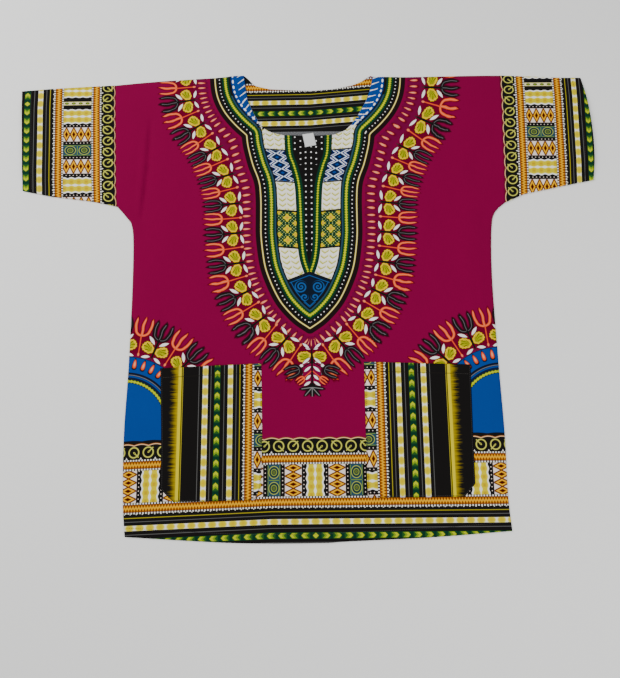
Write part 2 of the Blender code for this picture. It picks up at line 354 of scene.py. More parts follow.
def bead_strap(ground, p, q):
    """A strap of beads across the ladder, where the print is mirrored."""
    inside = q.within(*BORDER["ladder"]) & abs(p).below(STRAP_HALF)
    ground = (ground.under(BLACK, inside)
              .under(CREAM, inside & abs(p).below(0.0030)))
    beads = abs(p).from_point(q.repeated(0.0112) * 0.6)
    return (ground.under(SOOT, inside & beads.below(0.0021))
            .under(LEAF, inside & beads.below(0.0012)))


def bead_line(ground, p, q, line):
    """A pale line with yellow beads along it."""
    low, high = BORDER[line]
    row = q.within(low, high)
    ground = ground.under(PALE, row)
    off = q - (low + high) / 2
    oval = (p.repeated(BEAD_PITCH) / BEAD[0]).from_point(off / BEAD[1])
    return (ground.under(PALE_YELLOW, oval.below(1.02, 0.14) & row)
            .under(YELLOW, oval.below(0.82, 0.16) & row)
            .under(BEAD_HEART, oval.below(0.36, 0.20) & row))


def arrow_line(ground, p, q):
    """Bright heads with fading tails on green, pointing away from where the print is mirrored."""
    low, high = BORDER["arrows"]
    row = q.within(low, high)
    step = abs(p).repeated(ARROW_PITCH)
    off = abs(q - (low + high) / 2)
    ground = ground.under(DEEP_GREEN, row)
    tail = step.within(-0.0075, 0.0010, 0.004) & off.below(0.0036, 0.0012) & row
    ground = ground.under(GREEN, tail)
    head = step + off * 0.95
    return (ground.under(LEAF, head.within(-0.0032, 0.0042) & off.below(0.0036))
            .under(LEMON, head.within(-0.0002, 0.0040) & off.below(0.0034)))


def fringe(ground, p, q):
    """Uneven hairs that fade out to black from a bright yellow line."""
    low, _ = BORDER["fringe"]
    hair = (p / HAIR).math("FLOOR")
    length = hair.add("TexWhiteNoise", {"noise_dimensions": "1D"}, {"W": hair})
    reach = (q - low) / (0.0095 + length * 0.0070)
    return (ground.under(FRINGE_DARK, reach.below(0.80, 0.30) & q.above(low))
            .under(FRINGE_BRIGHT, reach.below(0.45, 0.35) & q.above(low))
            .under(YELLOW, q.within(low, low + 0.0045, 0.0006)))


def border(p, q, ground=MAGENTA, rings=True, strap=False, blocks=True, ring_share=1.0):
    """The border's colour at p and q, without the parts that a piece doesn't show."""
    colour = ground if isinstance(ground, Dye) else p.plain(ground)
    colour = colour.under(BLACK, q.above(0.0215))
    if rings:
        colour = ring_band(colour, p * ring_share, q)
    if blocks and strap:
        past_strap = abs(p) - (STRAP_HALF + LADDER["yellow"][1])
        colour = bead_strap(ladder(colour, past_strap.mirrored(LADDER_HALF), q), p, q)
    elif blocks:
        colour = ladder(colour, p.mirrored(LADDER_HALF), q)
    for line in ("first orange", "second orange") if blocks else ("second orange",):
        colour = orange_line(colour, p, q, line)
    colour = (colour.under(PALE, q.within(*BORDER["sparks"]) & abs(p.repeated(0.0088)).below(0.0007))
              .under(DULL_YELLOW, q.within(*BORDER["yellow line"])))
    for line in GREY_LINES:
        colour = colour.under(GREY, abs(q - line).below(0.0004, 0.0002) * 0.6)
    for line in ("inner beads", "outer beads"):
        colour = bead_line(colour, p, q, line)
    colour = arrow_line(colour, p, q)
    colour = colour.under(DULL_CREAM, q.within(*BORDER["cream line"]))
    return fringe(colour, p, q)

# --- Body print -------------------------------------------------------------------------------
# On a magenta ground the body has a long pointed panel round the neck, outlined in cream, with a
# row of seeds and a wreath of flowers and three-pronged stems outside it. A half medallion of
# the same stems stands at each side, over the border along the hem.

BLUE = (0.0002, 0.0430, 0.2350)
NAVY = (0.0050, 0.0085, 0.0350)
INK = (0.0040, 0.0085, 0.0190)
PALE_BLUE = (0.100, 0.240, 0.480)
SCROLL_BLUE = (0.0090, 0.0800, 0.2700)
CORAL = (0.72, 0.0760, 0.0190)
PEACH = (0.84, 0.190, 0.0700)
WINE = (0.105, 0.0006, 0.0085)
SHADE = (0.040, 0.0004, 0.0080)
PLUM = (0.125, 0.0006, 0.0350)
SEED_CORAL = (0.70, 0.105, 0.0600)
SEED_LIGHT = (0.84, 0.320, 0.170)
PETAL_RIM = (0.74, 0.48, 0.0005)
OLIVE = (0.330, 0.330, 0.0010)
VEIN = (0.030, 0.048, 0.0015)
ASH = (0.105, 0.095, 0.105)
PETAL_SHADE = (0.020, 0.006, 0.002)
CHAIN_YELLOW = (0.56, 0.53, 0.0010)
WING_PALE = (0.70, 0.67, 0.220)
WING_OLIVE = (0.40, 0.40, 0.0150)
LATTICE_GREEN = (0.36, 0.46, 0.140)
OUTLINE_SHADE = (0.0120, 0.0045, 0.0060)
OCHRE = (0.50, 0.36, 0.0300)
ORANGE_DYES = (WINE, CORAL, PEACH)             # halo, fill and middle line of a stem's prongs
BLACK_DYES = (SHADE, BLACK, ASH)

MOTIF_AXIS = -0.0035
WREATH_AXIS = -0.0010
WIDENING = 0.4050                # from here on, the right half of the wreath is spaced wider
BORDER_AXIS = 0.0020
BORDER_TOP = 0.1485

# Right halves, from the lowest point up. The outline turns a corner at its shoulder.
OUTLINE_LOW = ((0.0, 0.3110), (0.0200, 0.3255), (0.0390, 0.3460), (0.0500, 0.3635),
               (0.0605, 0.3870), (0.0675, 0.4080), (0.0715, 0.4310), (0.0745, 0.4600),
               (0.0748, 0.4870), (0.0750, 0.5160), (0.0765, 0.5400), (0.0800, 0.5560),
               (0.0870, 0.5750), (0.0920, 0.5930), (0.0965, 0.6130), (0.0985, 0.6300))
OUTLINE_HIGH = ((0.0985, 0.6300), (0.1165, 0.6480), (0.1330, 0.6690), (0.1440, 0.6910),
                (0.1495, 0.7130), (0.1525, 0.7440))
PLACKET = ((0.0, 0.3950), (0.0080, 0.4200), (0.0115, 0.4500), (0.0130, 0.5000),
           (0.0150, 0.5400), (0.0190, 0.5620), (0.0240, 0.5800), (0.0300, 0.6000),
           (0.0325, 0.6500))
WREATH = ((0.0, 0.2680), (0.0150, 0.2710), (0.0350, 0.2860), (0.0565, 0.3050),
          (0.0745, 0.3220), (0.0885, 0.3440), (0.1070, 0.3810), (0.1150, 0.4200),
          (0.1195, 0.4650), (0.1215, 0.5050), (0.1275, 0.5430), (0.1425, 0.5860),
          (0.1610, 0.6200), (0.1815, 0.6500), (0.1945, 0.6810), (0.1988, 0.7120),
          (0.1985, 0.7440))
MEDALLIONS = ((-0.2790, 0.1700), (0.2820, 0.1800))
MEDALLION_FLOWERS = 0.1170      # radius of its ring of flowers
BLUE_RADIUS = 0.1000
STEM_PITCH = 0.0245             # from a black stem to an orange one
SEED_PITCH = 0.0109
SEED_ROW = 0.0222               # from the outline to the middles of the seeds
SEED = (0.0062, 0.0017)         # half length and half width
CHAIN_PITCH = 0.0043
CHAIN_HALF = 0.0056             # of the dark green line under a chain
OUTER_CHAIN = 0.0165            # from the outline inwards, as are the dots
OUTLINE_DOTS = 0.0071
OUTLINE_DOT_PITCH = 0.0068
COLLAR_LOW = 0.6460
SPIKE_PITCH = 0.0116
COLLAR_DROP_PITCH = 0.0120
HEM_SAG = 0.0078                # of the border, towards the left side
PLAIN_BLOCKS = ((0.6040, 0.6900), (0.5015, 0.5475), (0.3800, 0.4385))
ZIGZAG_BLOCK = (0.5500, 0.6015)
LATTICE_BLOCK = (0.4415, 0.4985)
LATTICE_PITCH = 0.0185
LATTICE_ROW = 0.4700
FOOT_TOP = 0.4009
FOOT_SLOPE = 0.39               # the foot's upper edges fall away from the centre line
COIL_PITCH = 0.0046
DROPS_RADIUS = 0.0905           # of the ring of drops on a medallion's blue
CHAIN_RADIUS = 0.0640           # of the green chain inside them

FRONT_NECK = ((-0.1085, 0.7420), (-0.1010, 0.6920), (-0.0910, 0.6680), (-0.0780, 0.6440),
              (-0.0620, 0.6340), (-0.0440, 0.6295), (0.0, 0.6275), (0.0380, 0.6295),
              (0.0560, 0.6370), (0.0670, 0.6480), (0.0810, 0.6710), (0.0920, 0.6920),
              (0.0990, 0.7140), (0.1045, 0.7420))


def softened(corners, step=0.003):
    """A smooth line of points through a few corners, about a step apart."""
    knots = np.array(corners, float)
    ends = np.vstack([2 * knots[0] - knots[1], knots, 2 * knots[-1] - knots[-2]])
    line = []
    for before, start, end, after in zip(ends, ends[1:], ends[2:], ends[3:]):
        count = max(1, round(np.linalg.norm(end - start) / step))
        for t in np.arange(count) / count:
            line.append(0.5 * (2 * start + (end - before) * t
                               + (2 * before - 5 * start + 4 * end - after) * t ** 2
                               + (3 * start - before - 3 * end + after) * t ** 3))
    return np.array(line + [knots[-1]])


def from_line(x, y, line):
    """Distance of places from a line, how far along it the nearest point is, and its side."""
    near = np.full(x.shape, np.inf)
    along = np.zeros(x.shape)
    side = np.zeros(x.shape)
    passed = 0.0
    for (from_x, from_y), (to_x, to_y) in zip(line, line[1:]):
        step_x, step_y = to_x - from_x, to_y - from_y
        run = math.hypot(step_x, step_y)
        share = ((x - from_x) * step_x + (y - from_y) * step_y) / run ** 2
        share = np.clip(share, 0.0, 1.0)
        off_x, off_y = x - from_x - share * step_x, y - from_y - share * step_y
        away = np.hypot(off_x, off_y)
        closer = away < near - 1e-9
        near = np.where(closer, away, near)
        along = np.where(closer, passed + share * run, along)
        side = np.where(closer, np.sign(step_x * off_y - step_y * off_x), side)
        passed += run
    return near, along, side


def motif_measures(x, y):
    """What the body print reads at each place: how far along each of its lines and how far off."""
    right, up = np.abs(x - MOTIF_AXIS), y
    sign = np.where(x < MOTIF_AXIS, -1.0, 1.0)
    outline = np.vstack([softened(OUTLINE_LOW), softened(OUTLINE_HIGH)[1:]])
    near, along, side = from_line(right, up, outline)
    in_wreath = np.abs(x - WREATH_AXIS)
    wreath_near, wreath_along, wreath_side = from_line(in_wreath, up, softened(WREATH, 0.004))
    wreath_sign = np.where(x < WREATH_AXIS, -1.0, 1.0)
    opened = np.maximum(wreath_along - WIDENING, 0.0) * np.where(x < WREATH_AXIS, 0.0, 0.20)
    wreath_s, wreath_d = (wreath_along - opened) * wreath_sign, -wreath_near * wreath_side
    placket_near, placket_along, placket_side = from_line(right, up, softened(PLACKET, 0.005))
    neck_near, neck_along, neck_side = from_line(x, y, FRONT_NECK)
    (left_x, left_y), (right_x, right_y) = MEDALLIONS
    out = np.where(x < 0, x - left_x, right_x - x)
    rise = np.where(x < 0, y - left_y, y - right_y)
    radius, angle = np.hypot(out, rise), np.arctan2(out, rise)
    blue = np.where(rise > 0, radius, np.abs(out)) - BLUE_RADIUS
    sag = HEM_SAG * np.clip((-x - 0.060) / 0.21, 0.0, 1.0)
    return {"cut": (x, y, np.zeros(x.shape)),
            "outline": (along * sign, near * side, neck_along),
            "wreath": (wreath_s, wreath_d, -neck_near * neck_side),
            "placket": (placket_along, -placket_near * placket_side, blue),
            "medallion": (angle * MEDALLION_FLOWERS, radius - MEDALLION_FLOWERS, radius),
            "border": (x - BORDER_AXIS, BORDER_TOP - y - sag, sag)}


def leaf(ground, x, y, middle, angle, size, dye, halo=None):
    """A pointed leaf of the given length and width, its length turned by an angle from x."""
    from_x, from_y = x - middle[0], y - middle[1]
    cosine, sine = math.cos(angle), math.sin(angle)
    along = (from_x * cosine + from_y * sine) / (size[0] / 2)
    across = (from_y * cosine - from_x * sine) / (size[1] / 2)
    oval = abs(across) + along * along
    if halo:
        ground = ground.under(halo, oval.below(1.45, 0.15))
    return ground.under(dye, oval.below(1.0, 0.1))


def prongs(ground, x, out, dyes, width, scale=1.0, line_share=0.20):
    """Three prongs on a cup, the cup's foot at out = 0. dyes are halo, fill, line in the middle."""
    cup = 0.0085 * scale
    reach = 0.0195 * scale
    width = width * scale
    low, high = (out - cup) & 0.0, (out - cup) | 0.0
    sway = (high * (2 * math.pi / (0.026 * scale))).math("SINE") * (0.0007 * scale)
    off = abs(x.from_point(low) - cup - high * 0.05 - sway)
    taper = width * (1.0 - (high / reach) ** 4.0)
    middle = abs(x + sway) | ((0.0005 - out) * 2.0)
    middle_taper = width * (1.0 - ((high / reach) * 0.93) ** 4.0)
    shape = (off - taper) & (middle - middle_taper)
    halo, fill, line = dyes
    ground = (ground.under(halo, shape.below(0.0012, 0.0007))
              .under(fill, shape.below(0.0, 0.0002)))
    core = (off & middle) + high.above(reach * 0.88) * 0.01
    return ground.under(line, core.below(width * line_share, 0.0002))


def stems(ground, s, d):
    """A ring of flowers and stems: s along it from a black stem, d outwards from the flowers."""
    orange = (s - STEM_PITCH).repeated(2 * STEM_PITCH)
    black = s.repeated(2 * STEM_PITCH)
    beside = abs(black)
    ground = ground.under(WINE, d.within(-0.0130, 0.0240, 0.0035) * 0.75)
    leaning = orange - (d - 0.014) * 0.03
    ground = prongs(ground, leaning, d - 0.0175, ORANGE_DYES, 0.0017, line_share=0.35)
    ground = prongs(ground, black, d - 0.0170, BLACK_DYES, 0.0023)
    slant = orange + (d - 0.010) * 0.05
    ground = ground.under(CORAL, abs(slant).below(0.0008) & d.within(-0.0120, 0.0180))
    knob = slant.from_point((d + 0.0115) * 0.7)
    ground = (ground.under(PEACH, knob.below(0.0017))
              .under(BLACK, beside.below(0.0014) & d.within(-0.0120, 0.0180))
              .under(SOOT, beside.below(0.0007) & d.within(-0.0160, -0.0110)))

    # A flower opens on each side of a black stem, from a foot beside it, with veins fanned out.
    out, up = beside - 0.0132, d - 0.0030
    to_foot = (out * 0.86 + up * 0.51) * -1.0
    off = up * 0.86 - out * 0.51
    turn = off.math("ARCTAN2", to_foot)
    facing_foot = turn.math("COSINE")
    point = (facing_foot | 0.0) ** 3.0 * 0.0046 - (facing_foot & 0.0) ** 4.0 * 0.0013
    petal = to_foot.from_point(off) - point - (turn * 11.0).math("COSINE") * 0.00040
    ground = (ground.under(PETAL_SHADE, petal.below(0.0086))
              .under(PETAL_RIM, petal.below(0.0079))
              .under(OLIVE, petal.below(0.0048, 0.0007)))
    fan = off.math("ARCTAN2", 0.0105 - to_foot)
    veins = abs((fan * 8.0 + petal * 180.0).math("SINE"))
    ground = ground.under(VEIN, veins.below(0.40, 0.25) & petal.below(0.0056, 0.0005))

    ground = leaf(ground, beside, d, (0.0108, -0.0125), -0.25, (0.0150, 0.0043), WHITE, WINE)
    return leaf(ground, beside, d, (0.0085, 0.0138), 0.80, (0.0145, 0.0043), WHITE, WINE)


def seeds(ground, s, d):
    """Tapered seeds between the outline, d from it, and the wreath, s along it."""
    across = s.repeated(SEED_PITCH) / SEED[1]
    along = (d + SEED_ROW) / SEED[0]
    seed = (across * (1.0 + along * 0.30)).from_point(along)
    return (ground.under(PLUM, d.within(-0.0400, -0.0100, 0.0040) * 0.8)
            .under(WINE, seed.below(1.5, 0.35))
            .under(SEED_CORAL, seed.below(1.0, 0.1))
            .under(SEED_LIGHT, seed.below(0.60, 0.3)))


def chain(ground, s, off, wide):
    """A bright saw-edged line, as wide as given, in a dark green one."""
    teeth = abs(s.repeated(CHAIN_PITCH)) * 0.80
    return (ground.under(DEEP_GREEN, abs(off).below(CHAIN_HALF, 0.0006))
            .under(GREEN, abs(off).below(wide * 0.5 + 0.0004, 0.0004))
            .under(LEMON, (abs(off) + teeth).below(wide * 0.5 + 0.0002))
            .under(CHAIN_YELLOW, (abs(off) + teeth * 0.5).below(wide * 0.22)))


def neck_blocks(ground, y, beside, d, v, foot):
    """Blocks between the outer chain, d from the outline, and the placket's chain, along v = 0."""
    across = ((d - 0.0262) - (v - 0.0068)) / 2
    strip = d.above(0.0258) & v.above(0.0066)
    level = y - (beside - 0.035) * 0.09
    wing = abs((across + 0.0066).repeated(0.0132))
    vee = (y - wing * 0.62 - wing * wing * 20.0).repeated(0.0086)
    for low, high in PLAIN_BLOCKS:
        block = strip & level.within(low, high) & foot.above(FOOT_TOP)
        ground = ground.under(PALE, block)
        winged = block & wing.below(0.0057)
        ground = (ground.under(WING_PALE, winged & vee.within(-0.0004, 0.0024, 0.0009))
                  .under(WING_OLIVE, winged & vee.within(-0.0009, 0.0007, 0.0003)))
    block = strip & level.within(*ZIGZAG_BLOCK)
    step = abs((y - 0.5645).repeated(0.0134)) / 0.0067
    lozenge = abs(across) / 0.0100 + step
    ground = ground.under(NAVY, block)
    for size, dye in ((1.90, BLUE), (1.72, WHITE), (1.54, BLUE), (1.34, NAVY), (1.20, WHITE),
                      (1.02, PALE_BLUE), (0.88, NAVY), (0.34, BLUE)):
        ground = ground.under(dye, lozenge.below(size, 0.04) & block)
    block = strip & level.within(*LATTICE_BLOCK)
    step = (y - LATTICE_ROW).repeated(LATTICE_PITCH)
    ground = ground.under(DEEP_GREEN, block)
    grain = (abs((across + step).repeated(0.0052)) | abs((across - step).repeated(0.0052)))
    ground = ground.under(LATTICE_GREEN, block & grain.below(0.0011))
    between = (y - LATTICE_ROW + LATTICE_PITCH / 2).repeated(LATTICE_PITCH)
    for off_x, off_y, size in ((across, step, 0.0054), (abs(across) - 0.0125, between, 0.0036)):
        turn = off_x.math("ARCTAN2", off_y)
        petal = off_x.from_point(off_y) - (turn * 4.0).math("COSINE") * (size * 0.24)
        ground = (ground.under(DEEP_GREEN, block & petal.below(size * 1.30))
                  .under(YELLOW, block & petal.below(size))
                  .under(ORANGE, block & petal.below(size * 0.34)))
    return ground


def pointed_foot(ground, y, beside, d, foot):
    """The lowest point of the panel, with two pairs of scrolls."""
    tip = foot.below(0.3990) & d.above(0.0262)
    ground = ground.under(INK, tip)
    for middle_x, middle_y, size, hand in ((0.0130, 0.3765, 0.0098, 1.0),
                                           (0.0075, 0.3600, 0.0060, -1.0)):
        off_x, off_y = beside - middle_x, (y - middle_y) * hand
        turn = off_y.math("ARCTAN2", off_x)
        radius = off_x.from_point(off_y)
        coil = abs((radius - turn * (COIL_PITCH / (2 * math.pi))).repeated(COIL_PITCH))
        ground = ground.under(SCROLL_BLUE, tip & radius.below(size) & coil.below(0.00110))
    rim = abs(d - 0.0285) & abs(foot - 0.3945)
    ground = ground.under(SCROLL_BLUE, tip & rim.below(0.0006) & foot.below(0.3955))
    vee = abs(y - 0.3440 - beside * 0.9).below(0.0005) & beside.below(0.0090)
    return ground.under(SCROLL_BLUE, tip & vee)


def placket(ground, y, beside, v, foot):
    """Columns of dots between the inner chains, which meet in a point."""
    middle = v.below(-0.0050) & y.below(0.66)
    for column, pitch, low in ((0.0044, 0.0097, 0.40), (0.0125, 0.0104, 0.578), (0.0215, 0.0104, 0.603)):
        dot = abs(beside - column) | abs((y + column * 0.4).repeated(pitch))
        ground = ground.under(WHITE, middle & dot.below(0.0010) & y.above(low))
    ground = ground.under(BLACK, v.within(-0.0064, 0.0068) & y.above(0.388) & foot.above(FOOT_TOP))
    inner = chain(ground, y, v, 0.0034)
    return ground.under(inner, abs(v).below(0.0062) & foot.above(FOOT_TOP) & y.above(0.3900))


def collar(ground, y, s, d, m, n):
    """The blue collar, with white drops by the outline and slanted spikes by the neck's edge, and a line
    of painted shadow along the neck's row of stitches.
    """
    band = d.above(0.0250) & n.above(0.0) & y.above(COLLAR_LOW)
    ground = ground.under(BLUE, band)
    spike = (m - n * 0.60).repeated(SPIKE_PITCH) / (0.0013 - n * 0.07)
    ground = ground.under(WHITE, band & abs(spike).below(1.0, 0.15) & n.within(0.0008, 0.0118))
    drop = (s.repeated(COLLAR_DROP_PITCH) / 0.0036).from_point((d - 0.0288) / 0.0014)
    # The last INK line, at half strength along the neck's row of stitches, is a painted stitch shadow.
    return (ground.under(WHITE, band & drop.below(1.0, 0.12))
            .under(NAVY, band & d.below(0.0262))
            .under(INK, abs(n + 0.0058).below(0.0004, 0.0003) * 0.5))


def neck_outline(ground, y, s, d):
    """The cream outline, a row of white dots and the outer chain."""
    ground = (ground.under(OUTLINE_SHADE, d.above(-0.0082))
              .under(BLACK, d.above(-0.0030)))
    outer = chain(ground, s, d - OUTER_CHAIN, 0.0046)
    return (ground.under(outer, d.within(0.0100, 0.0235))
            .under(TEAL, d.within(0.0213, 0.0237) & y.below(0.70))
            .under(WHITE, s.repeated(OUTLINE_DOT_PITCH).from_point(d - OUTLINE_DOTS).below(0.0009))
            .under(OCHRE, abs(d).below(0.0011))
            .under(CREAM, abs(d).below(0.0005)))


def medallion(ground, s, radius, blue):
    """The blue half round inside a ring of stems, with drops and a green chain round it."""
    field = blue.below(0.0)
    ground = (ground.under(NAVY, blue.below(0.0012))
              .under(BLUE, field))
    drop_x = (s * (DROPS_RADIUS / MEDALLION_FLOWERS)).repeated(0.0138)
    along = (radius - DROPS_RADIUS) / 0.0068
    drop = (drop_x * (1.0 + along * 0.42) / 0.0026).from_point(along)
    ground = (ground.under(BLACK, drop.below(1.32, 0.08) & field)
              .under(CORAL, drop.below(1.0, 0.08) & field)
              .under(SEED_LIGHT, drop.below(0.5, 0.25) & field))
    for low, high, dye in ((0.0650, 0.0770, NAVY), (0.0752, 0.0770, BLACK), (0.0730, 0.0738, GREY),
                           (0.0700, 0.0722, BLUE)):
        ground = ground.under(dye, radius.within(low, high) & field)
    teeth = abs((s * (CHAIN_RADIUS / MEDALLION_FLOWERS)).repeated(0.0050)) * 0.5
    return (ground.under(DEEP_GREEN, abs(radius - CHAIN_RADIUS).below(0.0028) & field)
            .under(LEMON, (abs(radius - CHAIN_RADIUS) + teeth).below(0.0022) & field))


def tail(ground, x, y):
    """The little plant under the wreath, on its centre line."""
    beside = abs(x - WREATH_AXIS)
    for foot_x, foot_y, angle, scale, dyes, stem, width in (
            (0.0190, 0.2490, 1.90, 0.80, BLACK_DYES, 0.2600, 0.0030),
            (0.0120, 0.2360, 2.20, 0.46, ORANGE_DYES, 0.2470, 0.0024)):
        off_x, off_y = beside - foot_x, y - foot_y
        out = off_x * math.sin(angle) + off_y * math.cos(angle)
        across = off_x * math.cos(angle) - off_y * math.sin(angle)
        ground = prongs(ground, across, out, dyes, width, scale)
        line = abs(y - stem + beside * ((stem - foot_y) / foot_x))
        ground = ground.under(dyes[1], line.below(0.0009) & beside.below(foot_x))
    down = 0.2215 - y
    turn = beside.math("ARCTAN2", down)
    radius = beside.from_point(down)
    finger = (abs(turn) & abs(turn - 0.72)) & abs(turn - 1.44)
    hand = (finger * radius - 0.0034 * (1.0 - (radius / 0.0190) ** 3.0)) & (radius - 0.0060)
    ground = (ground.under(SHADE, hand.below(0.0012, 0.0008) & radius.below(0.0200))
              .under(BLACK, hand.below(0.0) & radius.below(0.0185))
              .under(GREY, (finger * radius).below(0.0006) & radius.below(0.0160))
              .under(BLACK, beside.below(0.0013) & y.within(0.2230, 0.2580)))
    for aside, level, angle, length in ((0.0090, 0.2845, 0.66, 0.0125), (0.0085, 0.2615, -0.70, 0.0145),
                                        (0.0068, 0.2490, -0.68, 0.0130), (0.0058, 0.2366, -0.78, 0.0105),
                                        (0.0072, 0.2272, -0.56, 0.0115)):
        ground = leaf(ground, beside, y, (aside, level), angle, (length, 0.0036), WHITE, WINE)
    return ground


def neck_print(start):
    x, y, _ = start.attribute("cut")
    s, d, m = start.attribute("outline")
    _, _, n = start.attribute("wreath")
    _, v, _ = start.attribute("placket")
    beside = abs(x - MOTIF_AXIS)
    foot = y + beside * FOOT_SLOPE
    ground = neck_blocks(x.plain(BLACK), y, beside, d, v, foot)
    ground = pointed_foot(ground, y, beside, d, foot)
    return collar(placket(ground, y, beside, v, foot), y, s, d, m, n)


def outline_print(start):
    x, y, _ = start.attribute("cut")
    s, d, _ = start.attribute("outline")
    return neck_outline(x.plain(MAGENTA), y, s, d)


def wreath_print(start):
    x, y, _ = start.attribute("cut")
    _, d, _ = start.attribute("outline")
    wreath_s, wreath_d, _ = start.attribute("wreath")
    ground = seeds(x.plain(MAGENTA), wreath_s, d)
    ground = stems(ground, abs(wreath_s), wreath_d)
    beside = abs(x - WREATH_AXIS)
    under_flowers = beside.below(0.0135) & (y - beside * 0.30).below(0.2570)
    return tail(ground.under(MAGENTA, under_flowers), x, y)


def medallion_print(start):
    _, _, blue = start.attribute("placket")
    s, d, radius = start.attribute("medallion")
    return medallion(stems(s.plain(MAGENTA), s + 0.0050, d), s, radius, blue)


def hem_print(start):
    _, _, blue = start.attribute("placket")
    p, q, _ = start.attribute("border")
    ground = p.plain(MAGENTA).under(NAVY, blue.below(0.0012)).under(BLUE, blue.below(0.0))
    foot = q + abs((p / 0.010).math("SINE")) * 0.0012
    ground = ground.under(BLACK, foot.above(-0.0035) & blue.below(0.0005))
    return border(p, q, ground)


BODY_PRINTS = (("plain", lambda start: start.attribute("cut")[0].plain(MAGENTA)),
               ("wreath", wreath_print), ("medallion", medallion_print), ("hem", hem_print),
               ("outline", outline_print), ("neck", neck_print))


def print_at(measures):
    """Which of BODY_PRINTS each place belongs to. They meet where both print the same colour."""
    _, d, _ = measures["outline"]
    _, wreath_d, _ = measures["wreath"]
    _, _, radius = measures["medallion"]
    _, q, _ = measures["border"]
    _, y, _ = measures["cut"]
    which = np.where((y > 0.1960) & (wreath_d < 0.0600), 1, 0)
    which = np.where(radius < 0.1640, 2, which)
    which = np.where(q > -0.0080, 3, which)
    which = np.where(d > -0.0123, 4, which)
    return np.where(d > 0.0250, 5, which)


# --- Back -------------------------------------------------------------------------------------
# One width of the cotton, cut with short dropped caps and a shallow dip for the neck. It lies face
# down, and the rest of the shirt is sewn to its edges. Places on the cloth are in metres: x from
# the centre front line, y up from the lowest point of the hem.

COTTON = 0.0008                 # one layer, with its weave
CAD_WALL = 0.0012
CAD_GAP = 0.0003
NECK_REACH = 0.2                # every place inside a neck's cut line is nearer to it than this
CUT_REACH = 0.0042              # points as near as this to a cut line are drawn onto it
LEFT_CUFF = -0.4687             # x of the farthest point of the left cuff
to_frame = np.array([cad_box[0].x - LEFT_CUFF, cad_box[0].y, 0.0])

HEM = ((-0.2690, 0.0107), (-0.1130, 0.0011), (0.0080, 0.0), (0.0440, 0.0016),
       (0.1710, 0.0067), (0.2810, 0.0140))
SHOULDERS = ((-0.3169, 0.7220), (-0.2500, 0.7281), (-0.1370, 0.7350), (-0.1090, 0.7366),
             (0.1090, 0.7326), (0.2630, 0.7340), (0.3115, 0.7340))
# row, left x, left y, right x, right y
SIDES = (("hem corner", -0.2690, 0.0107, 0.2810, 0.0140),
         ("border", -0.2740, 0.0620, 0.2785, 0.0620),
         ("ring band", -0.2768, 0.1550, 0.2795, 0.1550),
         ("pocket mouth", -0.2745, 0.2560, 0.2775, 0.2560),
         ("chest", -0.2744, 0.3900, 0.2764, 0.3900),
         ("side seam top", -0.2779, 0.4690, 0.2810, 0.4720),
         ("arm curve", -0.2885, 0.4907, 0.2885, 0.4970),
         ("arm corner", -0.3050, 0.5110, 0.3048, 0.5120),
         ("shoulder", -0.3169, 0.7220, 0.3115, 0.7340))
# row, underside x, underside y, top fold x, top fold y, bow of the row away from the body
SLEEVES = {"left": (("seam", -0.3050, 0.5110, -0.3169, 0.7220, 0.0),
                    ("ring band", -0.3420, 0.5195, -0.3500, 0.7205, 0.0),
                    ("ladder", -0.4100, 0.5290, -0.4190, 0.7168, 0.0),
                    ("cuff", -0.4543, 0.5386, -0.4687, 0.7128, 0.0)),
           "right": (("seam", 0.3048, 0.5120, 0.3115, 0.7340, 0.0),
                     ("ring band", 0.3343, 0.5255, 0.3420, 0.7326, 0.001),
                     ("ladder", 0.3967, 0.5388, 0.4080, 0.7290, 0.004),
                     ("cuff", 0.4470, 0.5487, 0.4423, 0.7287, 0.008))}
OUTWARD = {"left": -1, "right": 1}
BACK_NECK = ((-0.1110, 0.7420), (-0.0900, 0.7190), (-0.0650, 0.7125), (0.0, 0.7090),
             (0.0400, 0.7120), (0.0700, 0.7185), (0.0850, 0.7250), (0.1080, 0.7420))


def smooth(share):
    share = np.clip(share, 0.0, 1.0)
    return share * share * (3 - 2 * share)


def on_edge(line, x):
    return np.interp(x, [point[0] for point in line], [point[1] for point in line])


def body_sides():
    """The rows of SIDES with their curves filled in: left x, left y, right x, right y."""
    rows = softened([row[1:] for row in SIDES[:-1]], 0.012)
    return [tuple(row) for row in rows] + [SIDES[-1][1:]]


SIDE_ROWS = body_sides()
HEM_LINE = softened(HEM, 0.01)
SHOULDER_LINE = softened(SHOULDERS, 0.01)


def body_rows(row_height):
    """Shares of the height with a row of points each, one at every row of SIDES."""
    heights = [row[2] for row in SIDES]
    shares = heights[:1]
    for bottom, top in zip(heights, heights[1:]):
        steps = math.ceil((top - bottom) / row_height)
        shares += [bottom + (top - bottom) * (i + 1) / steps for i in range(steps)]
    return [(height - heights[0]) / (heights[-1] - heights[0]) for height in shares]


def on_body(u, row, shares, centre):
    """Places on a body panel. u is 0 at the left side, 0.5 on the centre and 1 at the right."""
    v = np.interp(row, np.linspace(0.0, 1.0, len(shares)), shares)
    heights = [side[1] for side in SIDE_ROWS]
    levels = [(height - heights[0]) / (heights[-1] - heights[0]) for height in heights]
    left_x, left_y, right_x, right_y = (
        np.interp(v, levels, [side[i] for side in SIDE_ROWS]) for i in (0, 1, 2, 3))
    x = np.where(u < 0.5, left_x + (centre - left_x) * 2 * u,
                 centre + (right_x - centre) * (2 * u - 1))
    across = (x - left_x) / (right_x - left_x)
    y = left_y + (right_y - left_y) * across
    hem_line = HEM[0][1] + (HEM[-1][1] - HEM[0][1]) * across
    top_line = SHOULDERS[0][1] + (SHOULDERS[-1][1] - SHOULDERS[0][1]) * across
    y = y + (1 - v) * (on_edge(HEM_LINE, x) - hem_line) + v * (on_edge(SHOULDER_LINE, x) - top_line)
    return x, y


